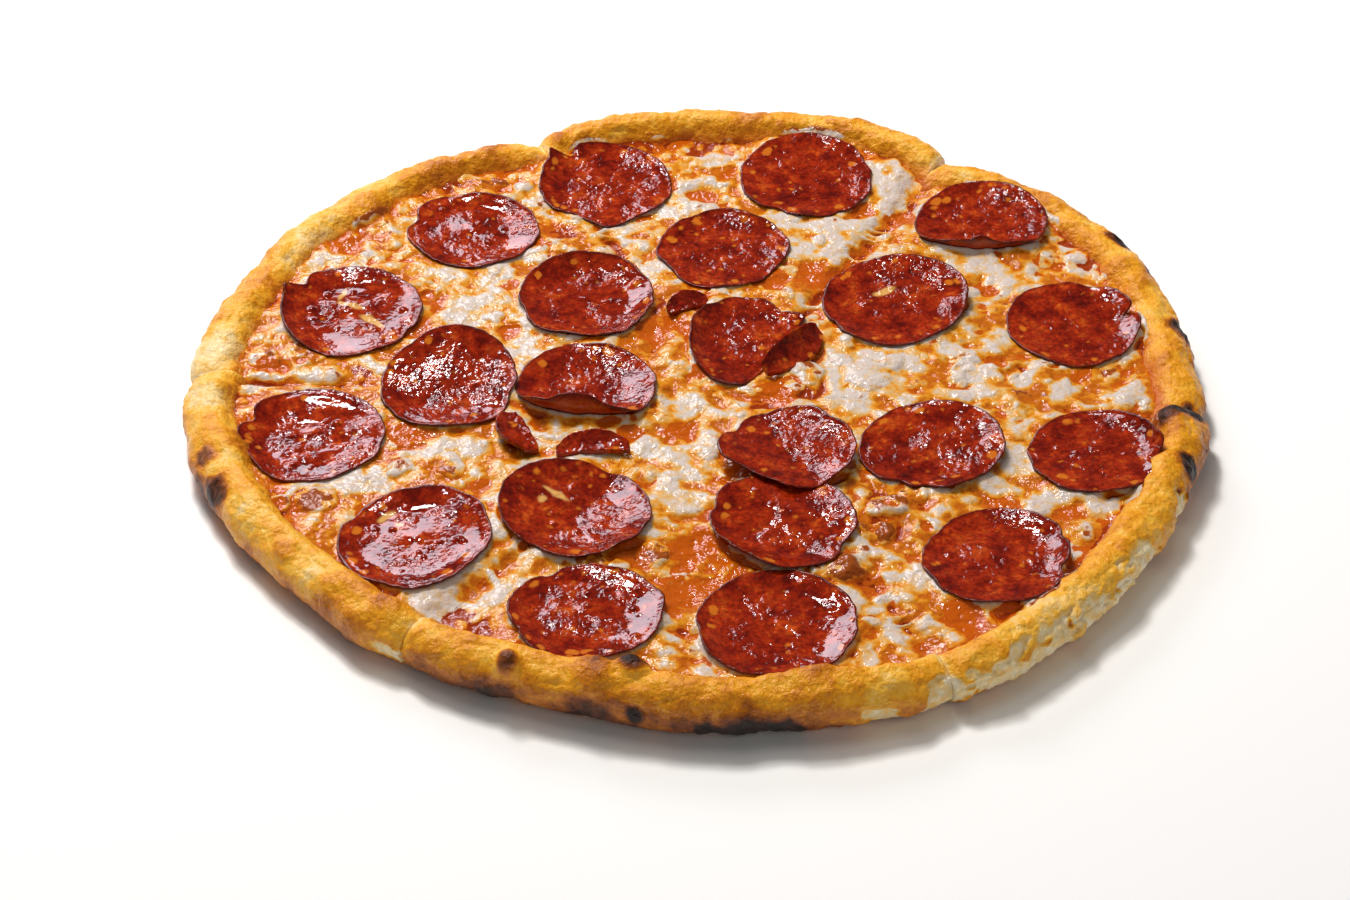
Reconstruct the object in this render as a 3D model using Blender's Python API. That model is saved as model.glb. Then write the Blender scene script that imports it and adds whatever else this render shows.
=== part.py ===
"""A whole pepperoni pizza, baked and then cut into six slices that still lie together.

Each slice is three layers: dough with a puffed rim, a thin sauce, and melted cheese. Slices of
pepperoni that curled in the oven lie on the cheese. Lengths are in millimetres until place() and
the mesh builders turn them into metres. The pizza rests on Z = 0, and the origin is the middle of
its outline.
"""

import math

import bmesh
import bpy
from mathutils import Vector, noise
from mathutils.bvhtree import BVHTree

MM = 0.001

# Heights of the layers, with the small gap that keeps touching solids apart
DOUGH_TOP = 4.5
SAUCE_THICKNESS = 1.0
CHEESE_TOP = 9.0
LAYER_GAP = 0.3
SLOPE_GAP = 0.5
SAUCE_BOTTOM = DOUGH_TOP + LAYER_GAP
SAUCE_TOP = SAUCE_BOTTOM + SAUCE_THICKNESS
CHEESE_BOTTOM = SAUCE_TOP + LAYER_GAP

# The puffed rim: its section is half an ellipse outside and a wave down to the dough inside. The
# crest and the foot are distances in from the outline. RIM_HUMPS and OUTLINE_WAVES are amounts and
# wavelengths, and the dough shrank back at each cut
RIM_WIDTH = 24.0
RIM_CREST = 10.0
RIM_FOOT = 7.5
BULGE_START, BULGE_END = math.radians(-62.0), math.radians(90.0)
BULGE_POINTS = 7
SLOPE_POINTS = 6
RIM_HUMPS = ((1.6, 26.0), (0.8, 11.0))
RIM_LUMPS = (0.9, 9.0)
LUMP_FADE = 3.0
OUTLINE_WAVES = (0.9, 13.0)
END_SHARE = 0.055
END_SHRINK = 1.6
END_DROP = 1.8

# The cuts cross at the hub, and every slice starts a little away from it
HUB_X, HUB_Y = 12.0, -5.0
TIP_RADIUS = 2.2
HALF_CUT = 0.45
STATIONS = 16

# Melted cheese: it lies a little higher towards the rim, climbs the rim up to a line, sinks under
# the pepperoni, and is soft along the cuts
CHEESE_RINGS = 10
CHEESE_FIRST_RING = 15.0
CHEESE_DISH = 1.7
CHEESE_LINE = 11.4
CHEESE_CLIMB = 0.6
CHEESE_HUMPS = ((0.7, 24.0), (0.45, 11.0))
CHEESE_SINK = 0.7
CUT_SINK = 1.3
CUT_SOFTNESS = 4.0

# Pepperoni: sausage sliced thin, flat in the middle and curled up round the edge, whose outline is
# a little oval and three-sided, and whose curl comes in waves
OVAL, THREE_SIDED = 0.025, 0.015
EDGE_WAVES = 5
EDGE_WAVE = 5.0
LEAST_CURL = 4.0
PEPPERONI_RADIUS = 23.6
PEPPERONI_THICKNESS = 1.5
FLAT_SHARE = 0.52
PEPPERONI_SEGMENTS = 20
PEPPERONI_RINGS = (0.5, 0.76, 1.0)
REST_GAP = 0.4
DROP_HEIGHT = 60.0

# Each slice: the angle of its first cut, its rim height, and its outline's radius from the hub at
# equal steps from the first cut to the next
SLICES = {
    "east": dict(start=-6.0, rim=15.0, outline=(154.0, 154.8, 161.3, 164.2, 161.0)),
    "north": dict(start=60.4, rim=16.5, outline=(165.0, 171.5, 169.5, 171.5, 168.5)),
    "northwest": dict(start=114.0, rim=15.5, outline=(168.5, 174.2, 177.3, 175.8, 177.5)),
    "southwest": dict(start=178.4, rim=17.0, outline=(176.0, 173.5, 169.2, 164.8, 165.5)),
    "south": dict(start=232.8, rim=17.5, outline=(164.0, 159.6, 160.8, 160.2, 161.3)),
    "southeast": dict(start=293.4, rim=17.0, outline=(162.5, 157.4, 154.2, 152.3, 156.0)),
}
SLICE_NAMES = list(SLICES)

# Each pepperoni slice: its middle, its size against the usual one, and how many degrees its edge
# turns up all round. curl is a direction and the degrees it turns up more there, tilt a direction
# and the degrees the whole slice rises that way, cut a direction and the distance of a straight cut
PEPPERONI = {
    "pepperoni_01": dict(at=(-30, 117), size=1.01, cup=16, curl=(150, 26), tilt=(95, 5)),
    "pepperoni_02": dict(at=(41, 121), size=1.03, cup=14, curl=(235, 20), tilt=(80, 6)),
    "pepperoni_03": dict(at=(-75, 87), size=0.96, cup=24, curl=(60, 18), tilt=(110, 2)),
    "pepperoni_04": dict(at=(11, 76), size=0.98, cup=16, curl=(100, 16), tilt=(90, 4)),
    "pepperoni_05": dict(at=(101, 90), size=0.96, cup=16, curl=(262, 100), tilt=(50, 10)),
    "pepperoni_06": dict(at=(-114, 37), size=1.03, cup=18, curl=(185, 36), tilt=(120, 4)),
    "pepperoni_07": dict(at=(-35, 46), size=1.04, cup=38, curl=(90, 8)),
    "pepperoni_08": dict(at=(68, 43), size=1.04, cup=14, curl=(220, 16), tilt=(80, 5)),
    "pepperoni_09": dict(at=(127, 30), size=0.96, cup=16, curl=(10, 50), tilt=(60, 4)),
    "pepperoni_10": dict(at=(20, 20), size=1.02, cup=22, curl=(175, 50), tilt=(90, 3), cut=(-30, 9)),
    "pepperoni_11": dict(at=(-78, -4), size=0.96, cup=14, curl=(75, 22), tilt=(90, 5)),
    "pepperoni_12": dict(at=(-34, -6), size=1.01, cup=26, curl=(262, 100)),
    "pepperoni_13": dict(at=(-120, -32), size=0.97, cup=16, curl=(175, 34), tilt=(110, 4)),
    "pepperoni_14": dict(at=(75, -38), size=0.96, cup=14, curl=(255, 22), tilt=(80, 4)),
    "pepperoni_15": dict(at=(127, -43), size=0.93, cup=16, curl=(15, 66), tilt=(340, 8)),
    "pepperoni_16": dict(at=(30, -41), size=0.92, cup=16, curl=(60, 20), tilt=(270, 4), cut=(235, 18)),
    "pepperoni_17": dict(at=(-36, -71), size=1.03, cup=28, curl=(225, 20)),
    "pepperoni_18": dict(at=(-84, -84), size=1.03, cup=28, curl=(90, 8), tilt=(225, 2)),
    "pepperoni_19": dict(at=(27, -77), size=1.00, cup=24, curl=(215, 40), tilt=(110, -3)),
    "pepperoni_20": dict(at=(92, -93), size=1.01, cup=24, curl=(0, 36), tilt=(311, 6)),
    "pepperoni_21": dict(at=(-32, -119), size=1.00, cup=24, curl=(205, 22), tilt=(250, 4)),
    "pepperoni_22": dict(at=(24, -124), size=1.05, cup=30, curl=(200, 16), tilt=(270, 3)),
}

# Each scrap: a strip of a slice that the cutter or the cheese parted from the rest, with its
# middle, length, width, the way it runs, how far it bows and how far it rolls up
SCRAPS = {
    "pepperoni_scrap_1": dict(at=(33, 15), length=29, width=9.5, runs=50, bow=-2.0, roll=44),
    "pepperoni_scrap_2": dict(at=(-31, -39), length=23, width=8.0, runs=6, bow=3.5, roll=20),
    "pepperoni_scrap_3": dict(at=(-54, -30), length=21, width=11.0, runs=112, bow=2.5, roll=18),
    "pepperoni_scrap_4": dict(at=(-1, 42), length=15, width=7.0, runs=28, bow=1.5, roll=24),
}
SCRAP_TAPER = 0.85
SCRAP_LENGTH_STEPS = 9
SCRAP_WIDTH_STEPS = 4

# Bubbles in the rim and in the cheese: middle, radius and height
BUBBLES = (
    dict(at=(-109, 94), radius=13.0, height=4.5),
    dict(at=(-57, -133), radius=6.0, height=2.6),
    dict(at=(-18, -138), radius=6.5, height=3.0),
    dict(at=(150, -26), radius=8.0, height=3.2),
    dict(at=(-142, -40), radius=9.0, height=2.2),
    dict(at=(60, -66), radius=11.0, height=1.6),
    dict(at=(44, -97), radius=8.0, height=1.8),
    dict(at=(57, 3), radius=11.0, height=1.4),
)


def clear_scene():
    for obj in list(bpy.data.objects):
        bpy.data.objects.remove(obj)


def food_material(name, colour, roughness):
    """A Principled material; colour is linear RGB."""
    material = bpy.data.materials.new(name)
    material.use_nodes = True
    shader = material.node_tree.nodes["Principled BSDF"]
    shader.inputs["Base Color"].default_value = (*colour, 1.0)
    shader.inputs["Roughness"].default_value = roughness
    shader.inputs["Metallic"].default_value = 0.0
    return material


def ripple(x, y, amount, wavelength):
    """Smooth noise over the plan, up to the amount, with humps about one wavelength apart."""
    return amount * noise.noise(Vector((x / wavelength, y / wavelength, wavelength)))


def through_knots(knots, share):
    """A smooth curve through equally spaced values, read at a share from 0 to 1."""
    last = len(knots) - 1
    place_on = min(max(share, 0.0), 1.0) * last
    index = min(int(place_on), last - 1)
    t = place_on - index
    before = knots[max(index - 1, 0)]
    first, second = knots[index], knots[index + 1]
    after = knots[min(index + 2, last)]
    return first + 0.5 * t * (
        second - before
        + t * (2 * before - 5 * first + 4 * second - after
               + t * (3 * (first - second) + after - before))
    )


def slice_span(name):
    """The angles of a slice's two cuts, in degrees."""
    index = SLICE_NAMES.index(name)
    start = SLICES[name]["start"]
    following = SLICES[SLICE_NAMES[(index + 1) % len(SLICE_NAMES)]]["start"]
    return start, following + (360.0 if following < start else 0.0)


def plan(name, share, radius):
    """The plan position of a point of a slice, from its share of the way between the cuts."""
    start, end = slice_span(name)
    angle = math.radians(start + (end - start) * share)
    inset = HALF_CUT * (1.0 - 2.0 * share)
    x = HUB_X + radius * math.cos(angle) - inset * math.sin(angle)
    y = HUB_Y + radius * math.sin(angle) + inset * math.cos(angle)
    return x, y


def place(name, share, radius, height):
    x, y = plan(name, share, radius)
    return Vector((x, y, height)) * MM


def end_rounding(share):
    """How near a rim's end is, from 0 to 1, where the dough shrank back from the cut."""
    nearest = min(share, 1.0 - share)
    return math.exp(-((nearest / END_SHARE) ** 2))


def outline_radius(name, share):
    radius = through_knots(SLICES[name]["outline"], share)
    x, y = plan(name, share, radius)
    return radius + ripple(x, y, *OUTLINE_WAVES) - END_SHRINK * end_rounding(share)


def rim_height(name, share):
    x, y = plan(name, share, outline_radius(name, share))
    height = SLICES[name]["rim"] + sum(ripple(x, y, *hump) for hump in RIM_HUMPS)
    return height - END_DROP * end_rounding(share)


def bubble_rise(x, y):
    """How far the bubbles lift the surface at a point of the plan."""
    rise = 0.0
    for bubble in BUBBLES:
        away = math.hypot(x - bubble["at"][0], y - bubble["at"][1]) / bubble["radius"]
        if away < 1.0:
            rise += bubble["height"] * (1.0 - away * away) ** 2
    return rise


def rim_section(name, share):
    """The rim's section as (radius, height) pairs, from the flat underside, round the outside and
    over the crest, down to the flat dough under the sauce."""
    outer = outline_radius(name, share)
    high = rim_height(name, share)
    middle = high / 2.0
    section = [(outer - RIM_WIDTH, 0.0), (outer - RIM_FOOT, 0.0)]
    for step in range(1, BULGE_POINTS + 1):
        turn = BULGE_START + (BULGE_END - BULGE_START) * step / BULGE_POINTS
        section.append((outer - RIM_CREST * (1.0 - math.cos(turn)), middle * (1.0 + math.sin(turn))))
    for step in range(1, SLOPE_POINTS + 1):
        t = step / SLOPE_POINTS
        fall = (1.0 + math.cos(math.pi * t)) / 2.0
        radius = outer - RIM_CREST - (RIM_WIDTH - RIM_CREST) * t
        section.append((radius, DOUGH_TOP + (high - DOUGH_TOP) * fall))
    return section


def lumpy(name, share, section):
    """The section with the rim's small lumps and bubbles, above the line that the cheese reaches."""
    lumps = []
    for radius, height in section:
        x, y = plan(name, share, radius)
        above = min(max((height - CHEESE_LINE) / LUMP_FADE, 0.0), 1.0)
        lift = ripple(x, y, *RIM_LUMPS) + bubble_rise(x, y)
        lumps.append((radius, height + above * lift))
    return lumps


def slope_radius(name, share, height):
    """Where the inner side of the rim is at a height, on the same straight facets as the solid."""
    section = rim_section(name, share)
    for (r_high, z_high), (r_low, z_low) in zip(section[-SLOPE_POINTS - 1:], section[-SLOPE_POINTS:]):
        if z_low <= height <= z_high:
            t = (z_high - height) / (z_high - z_low)
            return r_high + (r_low - r_high) * t - SLOPE_GAP
    return section[-1][0] - SLOPE_GAP


def finish_solid(name, bm, material, smooth_angle=40.0):
    bmesh.ops.recalc_face_normals(bm, faces=bm.faces)
    mesh = bpy.data.meshes.new(name)
    bm.to_mesh(mesh)
    bm.free()
    mesh.materials.append(material)
    mesh.shade_smooth()
    mesh.set_sharp_from_angle(angle=math.radians(smooth_angle))
    obj = bpy.data.objects.new(name, mesh)
    bpy.context.scene.collection.objects.link(obj)
    return obj


def skin(bm, rows):
    """Quads between rows of points of equal length, as a loft's side."""
    for row, following in zip(rows, rows[1:]):
        for a, b, c, d in zip(row, row[1:], following[1:], following):
            bm.faces.new((a, b, c, d))


def dough_slice(name, material):
    """The base and its puffed rim, with a flat face at each cut."""
    bm = bmesh.new()
    rows = []
    for station in range(STATIONS + 1):
        share = station / STATIONS
        section = lumpy(name, share, rim_section(name, share))
        rows.append([bm.verts.new(place(name, share, r, z)) for r, z in section])
    skin(bm, rows)
    tip = [
        [bm.verts.new(place(name, share, TIP_RADIUS, z)) for z in (0.0, DOUGH_TOP)]
        for share in (0.0, 1.0)
    ]
    bm.faces.new([row[-1] for row in rows] + [tip[1][1], tip[0][1]])
    bm.faces.new([row[0] for row in rows] + [tip[1][0], tip[0][0]])
    bm.faces.new(rows[0] + [tip[0][1], tip[0][0]])
    bm.faces.new(rows[-1] + [tip[1][1], tip[1][0]])
    bm.faces.new((tip[0][0], tip[0][1], tip[1][1], tip[1][0]))
    return finish_solid("dough_" + name, bm, material)


def sauce_slice(name, material):
    """A thin layer that reaches the foot of the rim."""
    bm = bmesh.new()
    rings = []
    for height in (SAUCE_BOTTOM, SAUCE_TOP):
        ring = [bm.verts.new(place(name, 0.0, TIP_RADIUS, height))]
        for station in range(STATIONS + 1):
            share = station / STATIONS
            ring.append(bm.verts.new(place(name, share, slope_radius(name, share, height), height)))
        ring.append(bm.verts.new(place(name, 1.0, TIP_RADIUS, height)))
        rings.append(ring)
    bm.faces.new(rings[0])
    bm.faces.new(rings[1])
    skin(bm, [[*ring, ring[0]] for ring in rings])
    return finish_solid("sauce_" + name, bm, material)


def cut_distance(name, share, radius):
    start, end = slice_span(name)
    span = math.radians(end - start)
    return radius * math.sin(min(min(share, 1.0 - share) * span, math.pi / 2))


def cheese_height(name, share, radius):
    """The melted surface: humps, a dip under each pepperoni slice, and a soft edge at each cut."""
    x, y = plan(name, share, radius)
    height = CHEESE_TOP + CHEESE_DISH * (radius / outline_radius(name, share)) ** 3
    height += sum(ripple(x, y, *hump) for hump in CHEESE_HUMPS)
    for piece in PEPPERONI.values():
        if math.hypot(x - piece["at"][0], y - piece["at"][1]) < PEPPERONI_RADIUS:
            height -= CHEESE_SINK
    height += bubble_rise(x, y)
    return height - CUT_SINK * math.exp(-((cut_distance(name, share, radius) / CUT_SOFTNESS) ** 2))


def cheese_edge(name, share):
    """The radius and height where the cheese's surface reaches the rim's inner slope."""
    height = CHEESE_TOP + CHEESE_DISH
    for _ in range(3):
        radius = slope_radius(name, share, height)
        height = min(cheese_height(name, share, radius) + CHEESE_CLIMB, CHEESE_LINE)
    return radius, height


def cheese_slice(name, material):
    """Melted cheese with humps, from the tip to where it meets the rim's slope."""
    bm = bmesh.new()
    tops, bottoms = [], []
    for station in range(STATIONS + 1):
        share = station / STATIONS
        edge_radius, edge_height = cheese_edge(name, share)
        top = []
        for ring in range(CHEESE_RINGS):
            radius = CHEESE_FIRST_RING + (edge_radius - CHEESE_FIRST_RING) * ring / CHEESE_RINGS
            height = cheese_height(name, share, radius)
            top.append(bm.verts.new(place(name, share, radius, height)))
        top.append(bm.verts.new(place(name, share, edge_radius, edge_height)))
        tops.append(top)
        low_edge = slope_radius(name, share, CHEESE_BOTTOM)
        bottoms.append(bm.verts.new(place(name, share, low_edge, CHEESE_BOTTOM)))
    tip = [
        [bm.verts.new(place(name, share, TIP_RADIUS, z)) for z in (CHEESE_BOTTOM, CHEESE_TOP - CUT_SINK)]
        for share in (0.0, 1.0)
    ]
    skin(bm, tops)
    skin(bm, [[top[-1], low] for top, low in zip(tops, bottoms)])
    bm.faces.new([top[0] for top in tops] + [tip[1][1], tip[0][1]])
    bm.faces.new(bottoms + [tip[1][0], tip[0][0]])
    bm.faces.new(tops[0] + [bottoms[0], tip[0][0], tip[0][1]])
    bm.faces.new(tops[-1] + [bottoms[-1], tip[1][0], tip[1][1]])
    bm.faces.new((tip[0][0], tip[0][1], tip[1][1], tip[1][0]))
    return finish_solid("cheese_" + name, bm, material)


def curled_edge(reach, flat, turn):
    """Where a strip that lies flat and then bends up evenly has got to, as (across, up), and how
    steep it is there."""
    if reach <= flat:
        return reach, 0.0, 0.0
    bend_radius = PEPPERONI_RADIUS * (1.0 - FLAT_SHARE) / turn
    swept = (reach - flat) / bend_radius
    return flat + bend_radius * math.sin(swept), bend_radius * (1.0 - math.cos(swept)), swept


def pepperoni_reach(piece, turn_round):
    """How far a slice reaches from its middle in one direction, with its uneven outline."""
    reach = PEPPERONI_RADIUS * piece["size"]
    reach *= 1.0 + OVAL * math.cos(2 * turn_round + piece["at"][0])
    reach *= 1.0 + THREE_SIDED * math.cos(3 * turn_round + piece["at"][1])
    if "cut" not in piece:
        return reach
    direction, distance = piece["cut"]
    toward_cut = math.cos(turn_round - math.radians(direction))
    return min(reach, distance / toward_cut) if toward_cut > 0.0 else reach


def pepperoni_point(piece, share, turn_round, level):
    """A point of a curled slice: share of its radius, angle round it, and level from its underside
    (0) to its top (1)."""
    direction, more = piece.get("curl", (0.0, 0.0))
    toward = max(0.0, math.cos(turn_round - math.radians(direction))) ** 3
    wave = EDGE_WAVE * math.cos(EDGE_WAVES * turn_round + piece["at"][1])
    turn = math.radians(max(piece["cup"] + more * toward + wave, LEAST_CURL))
    flat = PEPPERONI_RADIUS * piece["size"] * FLAT_SHARE
    across, up, slope = curled_edge(pepperoni_reach(piece, turn_round) * share, flat, turn)
    across -= PEPPERONI_THICKNESS * level * math.sin(slope)
    up += PEPPERONI_THICKNESS * level * math.cos(slope)
    direction, lift = piece.get("tilt", (0.0, 0.0))
    up += math.tan(math.radians(lift)) * across * math.cos(turn_round - math.radians(direction))
    return Vector((across * math.cos(turn_round), across * math.sin(turn_round), up))


def pepperoni_slice(name, piece, material):
    bm = bmesh.new()
    edges = []
    for level in (0.0, 1.0):
        middle = bm.verts.new(pepperoni_point(piece, 0.0, 0.0, level) * MM)
        rings = []
        for share in PEPPERONI_RINGS:
            rings.append([
                bm.verts.new(pepperoni_point(piece, share, math.tau * k / PEPPERONI_SEGMENTS, level) * MM)
                for k in range(PEPPERONI_SEGMENTS)
            ])
        for a, b in zip(rings[0], rings[0][1:] + rings[0][:1]):
            bm.faces.new((middle, a, b))
        skin(bm, [[*ring, ring[0]] for ring in rings])
        edges.append([*rings[-1], rings[-1][0]])
    skin(bm, edges)
    obj = finish_solid(name, bm, material)
    obj.location = Vector((*piece["at"], 0.0)) * MM
    return obj


def scrap(name, piece, material):
    """A strip of pepperoni, bowed along its length and rolled up along one side."""
    bm = bmesh.new()
    runs = math.radians(piece["runs"])
    along = Vector((math.cos(runs), math.sin(runs), 0.0))
    across = Vector((-along.y, along.x, 0.0))
    sides = []
    for level in (0.0, 1.0):
        rows = []
        for i in range(SCRAP_LENGTH_STEPS + 1):
            t = 2.0 * i / SCRAP_LENGTH_STEPS - 1.0
            half = 0.5 * piece["width"] * math.sqrt(1.0 - SCRAP_TAPER * t * t)
            row = []
            for j in range(SCRAP_WIDTH_STEPS + 1):
                s = 2.0 * j / SCRAP_WIDTH_STEPS - 1.0
                rolled = math.radians(piece["roll"]) * (s + 1.0) / 2.0
                point = along * (0.5 * piece["length"] * t)
                point += across * (half * s * math.cos(rolled) + piece["bow"] * (1.0 - t * t))
                point.z = half * (s + 1.0) * math.sin(rolled) + PEPPERONI_THICKNESS * level
                row.append(bm.verts.new(point * MM))
            rows.append(row)
        skin(bm, rows)
        border = rows[0] + [row[-1] for row in rows[1:-1]] + rows[-1][::-1]
        border += [row[0] for row in rows[-2:0:-1]]
        sides.append([*border, border[0]])
    skin(bm, sides)
    obj = finish_solid(name, bm, material)
    obj.location = Vector((*piece["at"], 0.0)) * MM
    return obj


def surface(obj):
    """The object's points in the pizza's frame, and a tree of its faces."""
    points = [v.co + obj.location for v in obj.data.vertices]
    faces = [tuple(p.vertices) for p in obj.data.polygons]
    return points, BVHTree.FromPolygons(points, faces)


def lay_down(obj, supports):
    """Lowers obj until it rests on what is under it, but for the small gap."""
    start = DROP_HEIGHT * MM
    obj.location.z = start
    points, tree = surface(obj)
    reach = max((p.xy - obj.location.xy).length for p in points)
    clear = []
    for support_points, support_tree in supports:
        for point in points:
            hit = support_tree.ray_cast(point, Vector((0, 0, -1)))[0]
            if hit:
                clear.append(point.z - hit.z)
        for point in support_points:
            if (point.xy - obj.location.xy).length < reach:
                hit = tree.ray_cast(point, Vector((0, 0, 1)))[0]
                if hit:
                    clear.append(hit.z - point.z)
    obj.location.z = start - min(clear) + REST_GAP * MM
    supports.append(surface(obj))


def build():
    clear_scene()
    crust = food_material("baked_dough", (0.62, 0.30, 0.07), 0.55)
    tomato = food_material("tomato_sauce", (0.42, 0.06, 0.02), 0.35)
    mozzarella = food_material("melted_cheese", (0.80, 0.52, 0.26), 0.35)
    sausage = food_material("pepperoni", (0.34, 0.035, 0.015), 0.28)
    supports = []
    for name in SLICES:
        supports.append(surface(dough_slice(name, crust)))
        sauce_slice(name, tomato)
        supports.append(surface(cheese_slice(name, mozzarella)))
    for name, piece in sorted(SCRAPS.items()):
        lay_down(scrap(name, piece, sausage), supports)
    for name, piece in sorted(PEPPERONI.items(), key=lambda item: item[1]["at"][1]):
        lay_down(pepperoni_slice(name, piece, sausage), supports)


build()
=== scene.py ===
"""The looks of a whole pepperoni pizza, baked golden and cut into six slices that lie together.

The sections follow the pizza as it is made: dough, sauce, pepperoni, and the cheese that melts
round the pepperoni. Lengths are in millimetres until a mesh is finished. Maps are plain grids over
the pizza's plan that hold a height or an amount for each point.
"""

import math

import bmesh
import bpy
import numpy as np
from mathutils import Matrix, Vector
from mathutils.bvhtree import BVHTree


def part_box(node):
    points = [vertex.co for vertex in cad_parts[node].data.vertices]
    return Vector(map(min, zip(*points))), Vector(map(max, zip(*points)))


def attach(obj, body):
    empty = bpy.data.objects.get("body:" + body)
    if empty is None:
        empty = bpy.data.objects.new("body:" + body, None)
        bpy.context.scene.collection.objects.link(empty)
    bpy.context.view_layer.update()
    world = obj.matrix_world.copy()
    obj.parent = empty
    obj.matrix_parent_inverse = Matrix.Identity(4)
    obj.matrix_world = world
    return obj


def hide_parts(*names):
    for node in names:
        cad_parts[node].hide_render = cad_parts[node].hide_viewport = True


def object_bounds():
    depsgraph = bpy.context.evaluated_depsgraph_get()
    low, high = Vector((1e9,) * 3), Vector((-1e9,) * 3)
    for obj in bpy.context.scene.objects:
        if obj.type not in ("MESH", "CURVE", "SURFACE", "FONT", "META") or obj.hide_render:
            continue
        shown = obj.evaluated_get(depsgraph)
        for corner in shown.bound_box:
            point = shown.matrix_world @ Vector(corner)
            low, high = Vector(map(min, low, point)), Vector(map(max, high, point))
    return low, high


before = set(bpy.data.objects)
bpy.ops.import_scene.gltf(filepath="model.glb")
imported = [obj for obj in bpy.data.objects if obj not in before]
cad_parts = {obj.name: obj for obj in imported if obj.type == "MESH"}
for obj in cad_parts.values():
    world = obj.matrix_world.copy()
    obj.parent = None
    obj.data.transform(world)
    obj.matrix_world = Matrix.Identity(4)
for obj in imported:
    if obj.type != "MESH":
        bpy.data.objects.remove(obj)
cad_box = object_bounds()
MM = 0.001


# ---------------------------------------------------------------------------------------------
# Dough: a flat base with a puffed rim, baked golden on a hot stone, with scorched blisters and
# paler places where it tore. Six slices, cut after baking, each with its rim drawn back a little
# at the cuts.
# ---------------------------------------------------------------------------------------------
SPUN_FROM = 10  # where a spun section starts, from the axis
HUB = np.array([12.0, -5.0])
TIP_RADIUS = 2.2
HALF_CUT = 0.12
BASE_TOP = 4.5
RIM_WIDTH, RIM_CREST, RIM_FOOT = 24.0, 10.0, 7.5
SLICES = {
    "east": dict(start=-6.0, rim=15.0, outline=(154.0, 154.8, 161.3, 164.2, 161.0)),
    "north": dict(start=60.4, rim=16.5, outline=(165.0, 171.5, 169.5, 171.5, 168.5)),
    "northwest": dict(start=114.0, rim=15.5, outline=(168.5, 174.2, 177.3, 175.8, 177.5)),
    "southwest": dict(start=178.4, rim=17.0, outline=(176.0, 173.5, 169.2, 164.8, 165.5)),
    "south": dict(start=232.8, rim=17.5, outline=(164.0, 159.6, 160.8, 160.2, 161.3)),
    "southeast": dict(start=293.4, rim=17.0, outline=(162.5, 157.4, 154.2, 152.3, 156.0)),
}
SLICE_NAMES = list(SLICES)
CUT_EDGE = 165.0  # how far out the cuts run, where lengths round the rim are measured
RIM_STEP = 0.6
SECTION_STEP = 0.55
# The rim's section, from the underside to the dough inside: distances in from the outline along the
# foot, angles round the bulge, and shares of the way down the slope, about 16, 31 and 18 mm long
FOOT = np.linspace(RIM_WIDTH, RIM_FOOT, max(int(16 / SECTION_STEP / 2.5), 4))[:-1]
TURN = np.radians(np.linspace(-90.0, 90.0, int(31 / SECTION_STEP)))
SLOPE = np.linspace(0.0, 1.0, int(18 / SECTION_STEP) + 1)[1:]
SECTION_POINTS = len(FOOT) + len(TURN) + len(SLOPE)
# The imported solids' box, which the relief must not leave
BOX_LOW, BOX_HIGH = (np.array(corner) / MM for corner in cad_box)

# Blisters of the rim: middle, radius, height and how dark the top is
RIM_BLISTERS = [
    (-109, 94, 13, 4.5, 0.30), (-114, 82, 8, 1.8, 0.35), (-141, 68, 6, 1.5, 0.2),
    (-53, -146, 4.5, 2.6, 0.7), (-17, -149, 6.0, 3.0, 0.75), (150, -26, 8, 3.0, 0.75),
    (-142, -40, 9, 2.0, 0.35), (-99, 101, 6, 2.0, 0.2), (-122, -93, 5, 1.2, 0.2),
    (-88, -121, 7, 1.4, 0.15), (-12, 148, 7, 1.6, 0.1), (14, 150, 6, 1.2, 0.1),
    (-49, 143, 6, 1.5, 0.15), (-72, 134, 5, 1.0, 0.2), (-146, 2, 6, 1.2, 0.1),
    (-150, -12, 5, 1.0, 0.1), (143, 60, 6, 1.2, 0.2), (70, -131, 6, 1.2, 0.1),
    (100, -112, 7, 1.4, 0.1), (33, -150, 8, 1.3, 0.15), (-30, -151, 8, 1.2, 0.15),
]
# Dark and pale places: middle, height above the table, reach, and how much further baked
RIM_PATCHES = [
    (-108, 136, 13, 13, 0.75), (-93, 141, 14, 8, 0.6), (-120, 124, 14, 8, 0.35),
    (151, 79, 12, 10, 0.7), (158, 62, 8, 8, 0.5), (160, 26, 8, 9, 0.62), (161, 8, 6, 7, 0.3),
    (157, -22, 14, 8, 0.95), (150, -19, 15, 6, 0.7), (152, -51, 12, 7, 0.9), (149, -58, 9, 6, 0.5),
    (-151, -47, 14, 7, 0.42), (-146, -62, 12, 8, 0.42), (-153, -55, 7, 8, 0.3),
    (4, -161, 7, 6, 0.8), (26, -160, 5, 7, 0.8), (15, -164, 3, 12, 0.4), (-16, -159, 9, 5, 0.6),
    (-60, -152, 4, 14, 0.3), (-30, -163, 3, 16, 0.3), (40, -157, 6, 6, 0.3),
    (-163, 40, 4, 12, 0.25), (-150, 75, 8, 10, 0.3), (-130, -110, 3, 16, 0.3),
    (-157, 12, 13, 16, -0.14), (-156, -15, 14, 14, -0.12), (-140, -78, 15, 14, -0.1),
    (-118, -108, 15, 12, -0.12), (63, -140, 12, 7, -0.1), (-60, -148, 13, 10, -0.06),
]
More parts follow.
